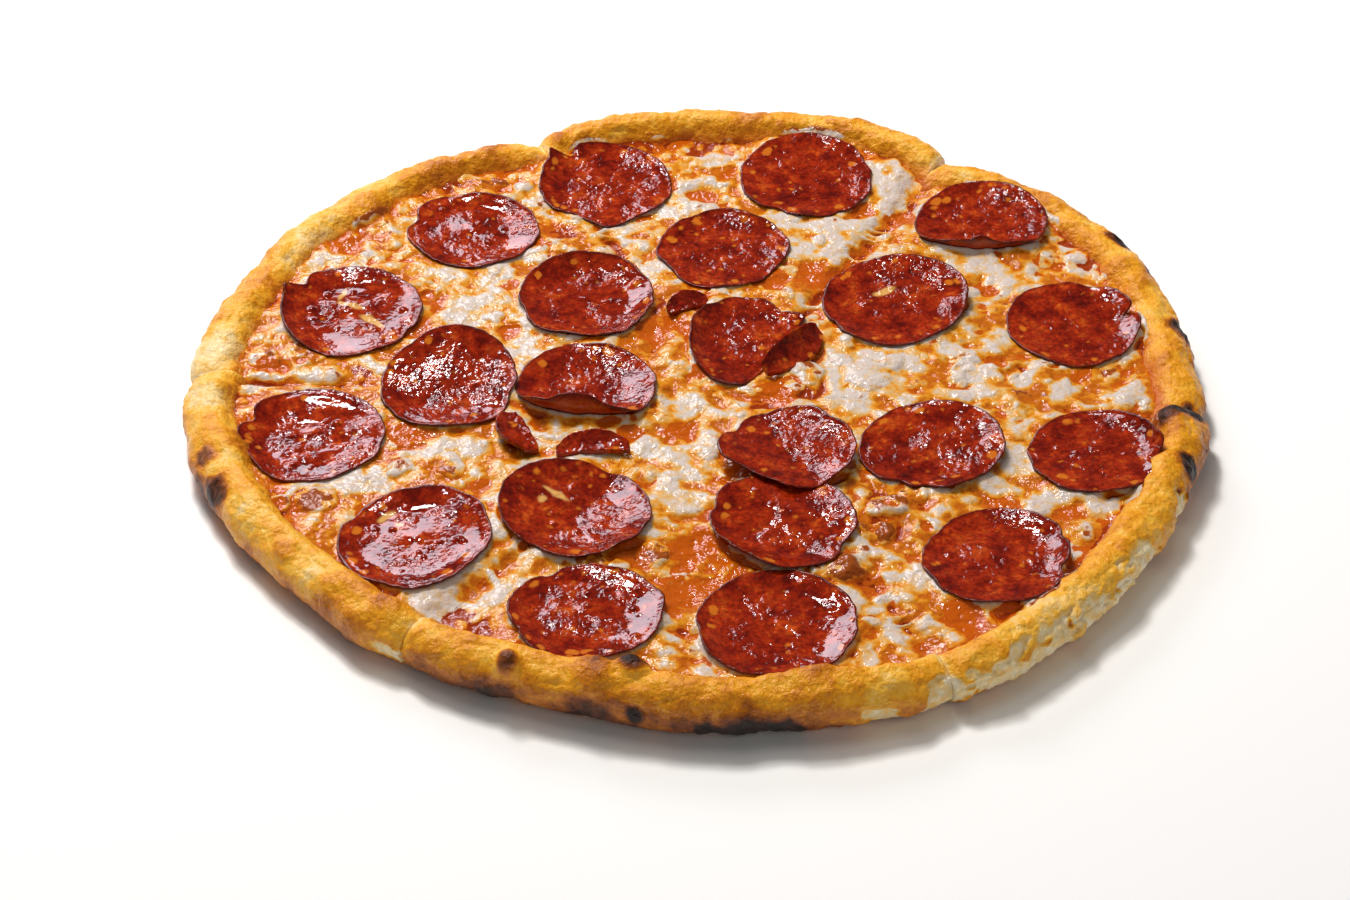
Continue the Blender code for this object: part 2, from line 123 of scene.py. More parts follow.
# Where the skin tore low on the outer side and the pale crumb shows: middle, height and reach
TEARS = [
    (134, -92, 7, 11), (126, -103, 5, 9), (118, -114, 6, 9), (103, -128, 6, 12), (86, -141, 6, 10),
    (70, -151, 5, 8), (53, -154, 5, 8), (150, -66, 9, 6), (-90, -135, 7, 5), (-164, -7, 8, 4),
    (-52, 156, 8, 5),
]
# How far the top and the outer side are baked, at angles round the pizza's middle. The outer side is darker
# than the top partly from baking and partly as painted shade
BAKE_ANGLES = (-180, -150, -120, -90, -60, -35, -10, 20, 50, 90, 130, 160, 180)
BAKE_TOP = (0.34, 0.38, 0.44, 0.46, 0.40, 0.36, 0.45, 0.44, 0.44, 0.46, 0.44, 0.38, 0.34)
BAKE_AND_SHADE_SIDE = (0.50, 0.56, 0.62, 0.64, 0.48, 0.36, 0.58, 0.60, 0.60, 0.62, 0.60, 0.52, 0.50)


def ripples(points, size, seed):
    """Smooth noise, mostly between -1 and 1, with humps about one size apart."""
    chance = np.random.default_rng(seed)
    order = chance.permutation(256)
    slopes = chance.normal(size=(256, 3))
    slopes /= np.linalg.norm(slopes, axis=1)[:, None]
    scaled = points / size
    cell = np.floor(scaled).astype(np.int64)
    within = scaled - cell
    eased = within ** 3 * (within * (within * 6 - 15) + 10)
    total = np.zeros(len(points))
    for dx in (0, 1):
        along_x = order[(cell[:, 0] + dx) & 255]
        weight_x = eased[:, 0] if dx else 1 - eased[:, 0]
        for dy in (0, 1):
            along_y = order[(along_x + cell[:, 1] + dy) & 255]
            weight_y = weight_x * (eased[:, 1] if dy else 1 - eased[:, 1])
            for dz in (0, 1):
                slope = slopes[order[(along_y + cell[:, 2] + dz) & 255]]
                weight = weight_y * (eased[:, 2] if dz else 1 - eased[:, 2])
                away = within - (dx, dy, dz)
                total += weight * (slope[:, 0] * away[:, 0] + slope[:, 1] * away[:, 1]
                                   + slope[:, 2] * away[:, 2])
    return total * 1.6


def layered(points, size, layers, seed, fall=0.5):
    """Ripples of several sizes, each half the last and weaker by the fall."""
    total = np.zeros(len(points))
    for layer in range(layers):
        total += fall ** layer * ripples(points, size / 2 ** layer, seed + layer)
    return total


def eased_step(low, high, value):
    """0 below low, 1 above high, and smooth between."""
    t = np.clip((value - low) / (high - low), 0.0, 1.0)
    return t * t * (3 - 2 * t)


def through_knots(knots, share):
    """A smooth curve through equally spaced values, read at shares from 0 to 1."""
    knots = np.asarray(knots, float)
    last = len(knots) - 1
    place_on = np.clip(share, 0.0, 1.0) * last
    index = np.minimum(place_on.astype(int), last - 1)
    t = place_on - index
    before, first = knots[np.maximum(index - 1, 0)], knots[index]
    second, after = knots[index + 1], knots[np.minimum(index + 2, last)]
    return first + 0.5 * t * (
        second - before
        + t * (2 * before - 5 * first + 4 * second - after
               + t * (3 * (first - second) + after - before))
    )


def slice_span(name):
    """The angles of a slice's two cuts, in degrees."""
    start = SLICES[name]["start"]
    following = SLICES[SLICE_NAMES[(SLICE_NAMES.index(name) + 1) % 6]]["start"]
    return start, following + (360.0 if following < start else 0.0)


def plan(name, share, radius):
    """Plan positions in a slice, from the share of the way between its cuts."""
    start, end = slice_span(name)
    angle = np.radians(start + (end - start) * share)
    inset = HALF_CUT * (1.0 - 2.0 * share)
    x = HUB[0] + radius * np.cos(angle) - inset * np.sin(angle)
    y = HUB[1] + radius * np.sin(angle) + inset * np.cos(angle)
    return x, y


def colour(code):
    """An sRGB hex colour as linear RGBA."""
    parts = [int(code[i:i + 2], 16) / 255 for i in (0, 2, 4)]
    return (*[c / 12.92 if c <= 0.04045 else ((c + 0.055) / 1.055) ** 2.4 for c in parts], 1.0)


def node(tree, kind, settings=None, inputs=None, stops=None):
    """Adds a shader node with its settings, its inputs as values or as links, and a ramp's stops."""
    made = tree.nodes.new("ShaderNode" + kind)
    for name, value in (settings or {}).items():
        setattr(made, name, value)
    for name, value in (inputs or {}).items():
        if isinstance(value, bpy.types.NodeSocket):
            tree.links.new(value, made.inputs[name])
        else:
            made.inputs[name].default_value = value
    for index, (position, tone) in enumerate(stops or ()):
        ramp = made.color_ramp.elements
        stop = ramp[index] if index < 2 else ramp.new(position)
        stop.position, stop.color = position, colour(tone)
    return made


def new_material(name):
    """A material with only its shader and output, and the shader's node tree."""
    material = bpy.data.materials.new(name)
    material.use_nodes = True
    return material, material.node_tree, material.node_tree.nodes["Principled BSDF"]


def spun_section(count, angle, steps, whole=False):
    """A bmesh of a section spun round the axis. Each point lies 1 farther out than the one before it,
    which tells the function that moves the points later where on the section each one is."""
    bm = bmesh.new()
    chain = [bm.verts.new((SPUN_FROM + k, 0.0, 0.0)) for k in range(count)]
    for a, b in zip(chain, chain[1:]):
        bm.edges.new((a, b))
    bmesh.ops.spin(bm, geom=bm.verts[:] + bm.edges[:], cent=(0, 0, 0), axis=(0, 0, 1), angle=angle,
                   steps=steps, use_merge=whole, use_duplicate=False)
    return bm


def finish_piece(name, bm, material, move, replaces):
    """Makes the mesh of a bmesh in millimetres, moves its points, stores amounts and adds it."""
    mesh = bpy.data.meshes.new(name)
    bmesh.ops.recalc_face_normals(bm, faces=bm.faces)
    bm.to_mesh(mesh)
    bm.free()
    points = np.empty(len(mesh.vertices) * 3)
    mesh.vertices.foreach_get("co", points)
    points, amounts = move(points.reshape(-1, 3))
    mesh.vertices.foreach_set("co", (points * MM).ravel())
    for label, values in amounts.items():
        attribute = mesh.attributes.new(label, "FLOAT", "POINT")
        attribute.data.foreach_set("value", values.astype(np.float32))
    mesh.materials.append(material)
    mesh.shade_smooth()
    mesh.update()
    piece = bpy.data.objects.new(name, mesh)
    bpy.context.scene.collection.objects.link(piece)
    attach(piece, "root")
    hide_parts(*replaces)
    return piece


def rim_points(name, share, step_on):
    """Where the points of the rim's section lie, before its relief, with the way each one faces."""
    outer = through_knots(SLICES[name]["outline"], share)
    x, y = plan(name, share, outer)
    here = np.column_stack([x, y, np.full(len(x), 13.0)])
    start, end = slice_span(name)
    from_cut = np.minimum(share, 1 - share) * np.radians(end - start) * CUT_EDGE
    drawn_back = np.exp(-((from_cut / 9.0) ** 2))
    torn = np.exp(-((from_cut / 1.6) ** 2))
    outer += 0.8 * ripples(here, 15.0, 3) - 1.6 * drawn_back - 0.9 * torn - 0.35
    high = SLICES[name]["rim"] + 1.3 * ripples(here, 30.0, 4) + 0.7 * ripples(here, 12.0, 5)
    high += -1.8 * drawn_back - 1.2 * torn
    inward = np.zeros(len(share))
    height = np.zeros(len(share))
    faces_out = np.zeros(len(share))
    faces_up = np.zeros(len(share))
    on_foot = step_on < len(FOOT)
    on_slope = step_on >= len(FOOT) + len(TURN)
    on_bulge = ~on_foot & ~on_slope
    inward[on_foot] = FOOT[step_on[on_foot]]
    faces_up[on_foot] = -1.0
    # The underside of the bulge is tucked in and flattened where it rests
    t = TURN[step_on[on_bulge] - len(FOOT)]
    low_squash = np.where(t < 0, 0.75 + 0.25 * np.cos(t), 1.0)
    inward[on_bulge] = RIM_CREST - RIM_CREST * np.cos(t) * low_squash
    height[on_bulge] = high[on_bulge] / 2 * (1 + np.sin(t))
    faces_out[on_bulge], faces_up[on_bulge] = np.cos(t), np.sin(t)
    t = SLOPE[step_on[on_slope] - len(FOOT) - len(TURN)]
    fall = (1 + np.cos(np.pi * t)) / 2
    inward[on_slope] = RIM_CREST + (RIM_WIDTH - RIM_CREST) * t
    height[on_slope] = BASE_TOP + (high[on_slope] - BASE_TOP) * fall
    steep = (high[on_slope] - BASE_TOP) * np.pi / 2 * np.sin(np.pi * t) / (RIM_WIDTH - RIM_CREST)
    faces_out[on_slope] = -steep / np.hypot(1, steep)
    faces_up[on_slope] = 1 / np.hypot(1, steep)
    return outer - inward, height, faces_out, faces_up, from_cut


def shape_dough(name):
    """Gives the function that moves a spun strip onto the rim, with its relief and its baking."""
    start, end = slice_span(name)

    def move(points):
        angle = np.degrees(np.arctan2(points[:, 1], points[:, 0])) % 360
        step_on = np.rint(np.hypot(points[:, 0], points[:, 1])).astype(int) - SPUN_FROM
        share = angle / (end - start)
        share = np.where(share > 2, 0.0, share)
        # The slice's tip is not spun: it is an edge of two points, one below and one on the base
        on_tip, tip_top = step_on < 0, points[:, 2] > 50
        step_on = np.maximum(step_on, 0)
        r, z, out, up, from_cut = rim_points(name, np.clip(share, 0, 1), step_on)
        x, y = plan(name, share, r)
        heading = np.radians(start + (end - start) * share)
        place = np.column_stack([x, y, z])
        # Lumps, wrinkles that run along the rim, and small pores of the baked skin
        free = eased_step(0.4, 2.5, z) * eased_step(
            RIM_WIDTH - 0.2, RIM_WIDTH - 4, through_knots(SLICES[name]["outline"], share) - r)
        lumps = 0.75 * ripples(place, 15.0, 11) + 0.55 * ripples(place, 7.5, 12)
        lumps += 0.45 * ripples(place, 3.8, 13) + 0.28 * ripples(place, 2.0, 14)
        unrolled = np.column_stack([np.radians(angle + start) * 60, r, z * 1.6])
        wrinkles = -np.exp(-((ripples(unrolled, 9.0, 15) / 0.10) ** 2)) * eased_step(
            -0.2, 0.5, ripples(place, 22.0, 16))
        relief = lumps + 0.4 * wrinkles - 0.25
        # Tears: shallow ragged pits whose crumb is pale and uneven
        centre_angle = np.degrees(np.arctan2(y, x))
        stretched = np.column_stack([np.radians(angle + start) * 150, r * 0.6, z * 2.2])
        ragged = 0.55 * ripples(stretched, 11.0, 17) + 0.3 * ripples(stretched, 4.2, 18)
        torn = np.zeros(len(z))
        for tx, ty, tz, reach in TEARS:
            away = np.sqrt((x - tx) ** 2 + (y - ty) ** 2 + (z - tz) ** 2) / reach
            torn = np.maximum(torn, eased_step(1.06, 0.92, away + ragged))
        torn *= eased_step(0.45, 0.7, out + 0.2 * ripples(place, 5.0, 19)) * eased_step(0.8, 2.0, z)
        relief += torn * (0.45 * ripples(place, 2.6, 20) + 0.3 * ripples(place, 5.0, 27) - 0.75)
        darker = np.zeros(len(z))
        for bx, by, reach, rise, dark in RIM_BLISTERS:
            near = np.clip(1 - ((x - bx) ** 2 + (y - by) ** 2) / reach ** 2, 0, 1)
            lift = eased_step(0.0, 0.5, up) * near
            relief += rise * np.where(up > 0, lift ** 1.2, 0) * free
            darker += dark * eased_step(0.25, 0.9, lift)
        relief *= free
        x = x + relief * out * np.cos(heading)
        y = y + relief * out * np.sin(heading)
        z = np.maximum(z + relief * up, 0.0)
        # How far each place is baked: 0 raw and floury, 0.45 golden, 1 burnt
        top = np.interp(centre_angle, BAKE_ANGLES, BAKE_TOP)
        side = np.interp(centre_angle, BAKE_ANGLES, BAKE_AND_SHADE_SIDE)
        # Outer side darker than the top, and darker still low down: partly baking, partly painted shade
        bake_and_shade = side + (top - side) * eased_step(-0.1, 0.9, up)
        bake_and_shade += 0.16 * eased_step(7.0, 0.5, z) * eased_step(0.2, 0.9, out)
        bake_and_shade += 0.15 * layered(place, 22.0, 4, 21, 0.6) + 0.06 * lumps
        for px, py, pz, reach, more in RIM_PATCHES:
            away = np.sqrt((x - px) ** 2 + (y - py) ** 2 + (z - pz) ** 2) / reach
            away += 0.22 * ripples(place, 5.0, 24)
            bake_and_shade += more * eased_step(1.0, 0.35, away)
        bake_and_shade += darker * 0.6
        holes = eased_step(0.35, 0.7, ripples(place, 4.5, 29))
        crumb = 0.14 + 0.16 * ripples(place, 3.0, 28) + 0.6 * holes
        bake_and_shade += (crumb - bake_and_shade) * torn
        bake_and_shade -= 0.16 * np.exp(-((from_cut / 1.6) ** 2)) * eased_step(2, 8, z)
        underneath = (up < -0.5) & (z < 0.5)
        bake_and_shade = np.where(underneath, 0.55 + 0.25 * layered(place, 16.0, 4, 25), bake_and_shade)
        # Orange oil that ran out of the cheese onto the rim's inner slope
        oiled = eased_step(-0.1, -0.5, out) * eased_step(
            14.0, 8.5, z + 1.6 * layered(place, 11.0, 3, 26))
        x = np.where(on_tip, HUB[0] + TIP_RADIUS * np.cos(heading), x)
        y = np.where(on_tip, HUB[1] + TIP_RADIUS * np.sin(heading), y)
        z = np.where(on_tip, np.where(tip_top, BASE_TOP, 0.0), z)
        moved = np.clip(np.column_stack([x, y, z]), BOX_LOW + (0.05, 0.05, 0), BOX_HIGH - 0.05)
        return moved, {"bake_and_shade": np.clip(bake_and_shade, 0, 1), "oiled": oiled}

    return move


# Baked wheat dough: a dry, finely wrinkled skin that is golden where the oven browned it and dark
# brown to black on the blisters. It is dull, but fat from the topping gives it a soft shine.
dough_material, tree, shader = new_material("baked_dough")
place = node(tree, "TexCoord").outputs["Object"]
# The baking amount also holds painted shade on the rim's outer side, darkest low down
bake_and_shade, oiled = (node(tree, "Attribute", {"attribute_name": label}).outputs["Fac"]
               for label in ("bake_and_shade", "oiled"))
# Mottling about 5 mm and 1.2 mm across, and pores of 0.5 mm
blotches, specks, pores = (
    node(tree, "TexNoise", inputs={"Vector": place, "Scale": scale, "Detail": detail, "Roughness": rough})
    .outputs["Fac"] for scale, detail, rough in ((200.0, 4.0, 0.6), (830.0, 3.0, 0.5), (1600.0, 2.0, 0.5)))
level = node(tree, "Math", {"operation": "MULTIPLY_ADD"}, {0: blotches, 1: 0.4, 2: -0.2})
level = node(tree, "Math", {"operation": "ADD"}, {0: bake_and_shade, 1: level.outputs[0]})
level = node(tree, "Math", {"operation": "MULTIPLY_ADD"}, {0: specks, 1: 0.2, 2: level.outputs[0]})
level = node(tree, "Math", {"operation": "SUBTRACT", "use_clamp": True}, {0: level.outputs[0], 1: 0.10})
crust = node(tree, "ValToRGB", inputs={"Fac": level.outputs[0]}, stops=(
    (0.0, "F8EACA"), (1.0, "1C0D07"), (0.16, "F6D89A"), (0.32, "F8BC40"), (0.45, "EEA01A"),
    (0.58, "C8740E"), (0.74, "82400A"), (0.90, "3A1A08")))
stained = node(tree, "Mix", {"data_type": "RGBA"}, {
    0: oiled, 6: crust.outputs["Color"], 7: colour("C9661A")})
shine = node(tree, "MapRange", inputs={
    "Value": blotches, "From Min": 0.3, "From Max": 0.7, "To Min": 0.2, "To Max": 0.38})
shine = node(tree, "Math", {"operation": "MULTIPLY_ADD"}, {0: bake_and_shade, 1: 0.2, 2: shine.outputs[0]})
for label, value in (("Specular IOR Level", 0.45), ("Subsurface Weight", 0.08),
                     ("Subsurface Radius", (1.0, 0.5, 0.25)), ("Subsurface Scale", 0.002)):
    shader.inputs[label].default_value = value
bumps = node(tree, "Bump", inputs={"Height": specks, "Strength": 0.6, "Distance": 0.0012})
bumps = node(tree, "Bump", inputs={
    "Height": pores, "Strength": 0.4, "Distance": 0.0004, "Normal": bumps.outputs["Normal"]})
for output, label in ((stained.outputs[2], "Base Color"), (shine.outputs[0], "Roughness"),
                      (bumps.outputs["Normal"], "Normal")):
    tree.links.new(output, shader.inputs[label])

dough_pieces = []
for name in SLICE_NAMES:
    start, end = slice_span(name)
    turned = math.radians(end - start)
    bm = spun_section(SECTION_POINTS, turned, int(turned * CUT_EDGE / RIM_STEP))
    rows = {}
    for vert in bm.verts:
        angle = math.atan2(vert.co.y, vert.co.x) % math.tau
        # The first section lies at 0, or a rounding error below it, which is nearly a full turn
        rows.setdefault(round(vert.co.to_2d().length) - SPUN_FROM, []).append(
            (angle if angle < 6 else 0, vert))
    inner, outer = ([v for _, v in sorted(rows[k], key=lambda item: item[0])]
                    for k in (0, SECTION_POINTS - 1))
    tips = [[bm.verts.new((8.0 * math.cos(a), 8.0 * math.sin(a), h)) for h in (0.0, 100.0)]
            for a in (0.0, turned)]
    ends = [[min(rows[k], key=lambda item: abs(item[0] - a))[1] for k in range(SECTION_POINTS)]
            for a in (0.0, turned)]
    bm.faces.new(inner + [tips[1][0], tips[0][0]])
    bm.faces.new(outer + [tips[1][1], tips[0][1]])
    bm.faces.new(ends[0] + [tips[0][1], tips[0][0]])
    bm.faces.new(ends[1] + [tips[1][1], tips[1][0]])
    bm.faces.new((tips[0][0], tips[0][1], tips[1][1], tips[1][0]))
    dough_pieces.append(finish_piece("crust_" + name, bm, dough_material,
                                     shape_dough(name), ["dough_" + name]))


# ---------------------------------------------------------------------------------------------
# Sauce: cooked tomato spread thinly on the dough. It shows in the cuts, dark red and wet.
# ---------------------------------------------------------------------------------------------
# Simmered tomato: a smooth wet film over fine pulp about 1 mm across
sauce_material, tree, shader = new_material("tomato_sauce")
place = node(tree, "TexCoord").outputs["Object"]
pulp = node(tree, "TexNoise", inputs={"Vector": place, "Scale": 900.0, "Detail": 4.0})
red = node(tree, "ValToRGB", inputs={"Fac": pulp.outputs["Fac"]}, stops=((0.3, "6E1405"), (0.7, "B23A12")))
tree.links.new(red.outputs["Color"], shader.inputs["Base Color"])
bumps = node(tree, "Bump", inputs={"Height": pulp.outputs["Fac"], "Strength": 0.6, "Distance": 0.0006})
tree.links.new(bumps.outputs["Normal"], shader.inputs["Normal"])
shader.inputs["Roughness"].default_value = 0.22
for name in SLICE_NAMES:
    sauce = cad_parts["sauce_" + name]
    sauce.data.materials.clear()
    sauce.data.materials.append(sauce_material)


# ---------------------------------------------------------------------------------------------
# Pepperoni: a spiced, cured sausage sliced 1.5 mm thin. In the oven each slice curled up round its
# edge, which scorched, while its fat melted into orange specks and a film of oil that pools in it.
# ---------------------------------------------------------------------------------------------
RADIUS, THICKNESS, FLAT_SHARE = 23.6, 1.5, 0.52
PRESSED_IN = 0.7  # how much lower than its solid a slice lies in the cheese
TOP_RINGS = 38
TURN_STEPS = 180
# Middle, size, the degrees the edge turns up all round, and where it does so more. tilt is the way
# the slice rises, flat the share of the radius that stays flat, cut a straight cut through it, crease
# a fold (way across it, distance, degrees), nicks notches in the edge (way, depth, width in degrees),
# film how far oil fills its relief, and creamy lumps of fat (middle, length, width, way)
PEPPERONI = {
    "01": dict(at=(-30, 117), size=1.01, cup=16, curl=(150, 26), tilt=(95, 5), film=0.1,
               nicks=((128, 3.5, 7), (143, -2.5, 5), (240, 2.2, 16), (272, -1.6, 9), (302, 1.8, 14))),
    "02": dict(at=(41, 121), size=1.03, cup=14, curl=(235, 20), tilt=(80, 6), film=0.0,
               nicks=((243, 3.0, 11), (262, -1.0, 9), (300, 1.5, 8))),
    "03": dict(at=(-75, 87), size=0.96, cup=24, curl=(60, 18), tilt=(110, 2), film=0.35,
               nicks=((165, 2.0, 9), (110, 1.2, 10))),
    "04": dict(at=(11, 76), size=0.98, cup=20, curl=(100, 16), tilt=(85, 1), film=0.0,
               nicks=((215, 2.6, 16), (330, 1.5, 20), (120, 1.0, 9))),
    "05": dict(at=(101, 90), size=0.96, flat=0.42, cup=16, curl=(262, 98), tilt=(50, 8), film=-0.1,
               nicks=((205, -2.0, 12), (285, 1.8, 14), (250, 1.2, 9))),
    "06": dict(at=(-114, 37), size=1.03, cup=18, curl=(185, 36), tilt=(120, 4), film=0.4,
               creamy=((0, 4, 5, 1.2, -20), (8, -4, 5, 1.5, -40), (-3, 9, 3, 1, 60)),
               nicks=((140, 2.4, 8), (158, -1.6, 6), (335, 1.6, 9))),
    "07": dict(at=(-35, 46), size=1.04, cup=38, curl=(90, 8), film=0.35, nicks=((200, 1.0, 14),)),
    "08": dict(at=(68, 43), size=1.04, cup=18, curl=(220, 16), tilt=(35, 8), film=0.0,
               creamy=((-3, 6, 3.8, 1.8, 25),),
               nicks=((207, 2.0, 9), (250, 0.8, 12))),
    "09": dict(at=(127, 30), size=0.96, cup=16, curl=(10, 50), tilt=(40, 5), film=-0.05,
               nicks=((8, 5.0, 5), (352, -1.0, 8), (70, 1.4, 12))),
    "10": dict(at=(20, 20), size=1.02, cup=22, curl=(175, 50), tilt=(90, 3), cut=(-30, 9), film=-0.15,
               nicks=((60, 2.2, 11), (120, 1.0, 8))),
    "11": dict(at=(-78, -5), size=0.96, cup=14, curl=(75, 22), tilt=(90, 6.5), film=-0.05,
               nicks=((345, 1.8, 12), (130, 1.4, 14)), crease=(262, 9, 7)),
    "12": dict(at=(-34, -6), size=1.01, flat=0.36, cup=22, curl=(262, 98), film=-0.2,
               nicks=((230, 1.2, 8), (295, 1.5, 10))),
    "13": dict(at=(-120, -32), size=0.97, cup=16, curl=(175, 34), tilt=(110, 4), film=0.25,
               nicks=((163, 2.5, 8), (183, -1.2, 8))),
    "14": dict(at=(75, -38), size=0.96, cup=18, curl=(255, 22), tilt=(20, 8), film=0.0,
               nicks=((238, 2.6, 9), (262, 1.6, 7), (282, -0.8, 8))),
    "15": dict(at=(127, -43), size=0.93, cup=16, curl=(15, 66), tilt=(340, 8), film=0.0,
               nicks=((338, 3.5, 8), (0, -2.0, 9), (310, 1.2, 9))),
    "16": dict(at=(30, -41), size=0.92, cup=16, curl=(60, 20), tilt=(270, 4), cut=(235, 18), film=-0.1,
               nicks=((150, 2.4, 12), (45, 1.6, 14)), crease=(203, 0, 8)),
    "17": dict(at=(-36, -71), size=1.03, cup=28, curl=(225, 20), tilt=(190, 2), film=0.1,
               creamy=((-6, 9, 4.5, 1.1, -35), (-10, 6, 1.8, 1.2, 0)),
               nicks=((65, 1.2, 9), (235, 1.8, 9)), crease=(142.8, 0, 7)),
    "18": dict(at=(-84, -84), size=1.03, cup=26, curl=(90, 8), tilt=(345, 4), film=0.5,
               creamy=((-9, 12, 3.5, 1.5, 40), (-5, 8, 1.6, 1.0, 0)),
               nicks=((150, 1.2, 12), (330, 0.8, 9))),
    "19": dict(at=(27, -77), size=1.00, cup=24, curl=(215, 40), tilt=(110, -3), film=0.1,
               nicks=((160, 1.5, 9), (330, 2.0, 10)), crease=(243, 9, 9)),
    "20": dict(at=(92, -93), size=1.01, cup=24, curl=(0, 36), tilt=(311, 6), film=-0.05,
               nicks=((335, 2.6, 8), (20, 1.2, 9))),
    "21": dict(at=(-32, -119), size=1.00, cup=24, curl=(205, 22), tilt=(300, 3), film=0.35,
               nicks=((203, 2.4, 7), (120, 1.8, 11), (235, -0.8, 7))),
    "22": dict(at=(24, -124), size=1.05, cup=28, curl=(200, 16), tilt=(330, 2), film=0.3,
               nicks=((185, 1.4, 10), (285, 1.6, 9))),
}


def curled(piece, share, turn, level, notched=True):
    """Points of a curled slice: share of its radius, angle round it, and level from its underside
    (0) to its top (1)."""
    way, more = piece.get("curl", (0.0, 0.0))
    toward = np.maximum(0.0, np.cos(turn - math.radians(way))) ** 3
    wave = 5.0 * np.cos(5 * turn + piece["at"][1])
    bend = np.radians(np.maximum(piece["cup"] + more * toward + wave, 4.0))
    reach = RADIUS * piece["size"] * (1 + 0.025 * np.cos(2 * turn + piece["at"][0]))
    reach = reach * (1 + 0.015 * np.cos(3 * turn + piece["at"][1]))
    if notched:
        for way, depth, width in piece.get("nicks", ()):
            off = (np.degrees(turn) - way + 180) % 360 - 180
            reach = reach - 1.15 * depth * np.exp(-((off / width) ** 2))
    if "cut" in piece:
        way, distance = piece["cut"]
        toward_cut = np.cos(turn - math.radians(way))
        to_cut = distance / np.maximum(toward_cut, 1e-3)
        reach = np.where(toward_cut > 0, np.minimum(reach, to_cut), reach)
    flat_share = piece.get("flat", FLAT_SHARE)
    flat = RADIUS * piece["size"] * flat_share
    bend_radius = RADIUS * (1 - flat_share) / bend
    out = reach * share
    swept = np.maximum(out - flat, 0.0) / bend_radius
    across = np.where(out <= flat, out, flat + bend_radius * np.sin(swept))
    in_from_edge = reach * (1 - share)
    level = level + (0.5 - level) * 0.6 * eased_step(4.0, 0.3, in_from_edge)
    across = across - THICKNESS * level * np.sin(swept)
    up = bend_radius * (1 - np.cos(swept)) + THICKNESS * level * np.cos(swept)
    way, lift = piece.get("tilt", (0.0, 0.0))
    up = up + math.tan(math.radians(lift)) * across * np.cos(turn - math.radians(way))
    # The front edges sank a little into the cheese, but for the two that curled right over
    if more < 90:
        up = up * (0.85 + 0.15 * np.sin(turn))
    return across * np.cos(turn), across * np.sin(turn), up, swept, in_from_edge


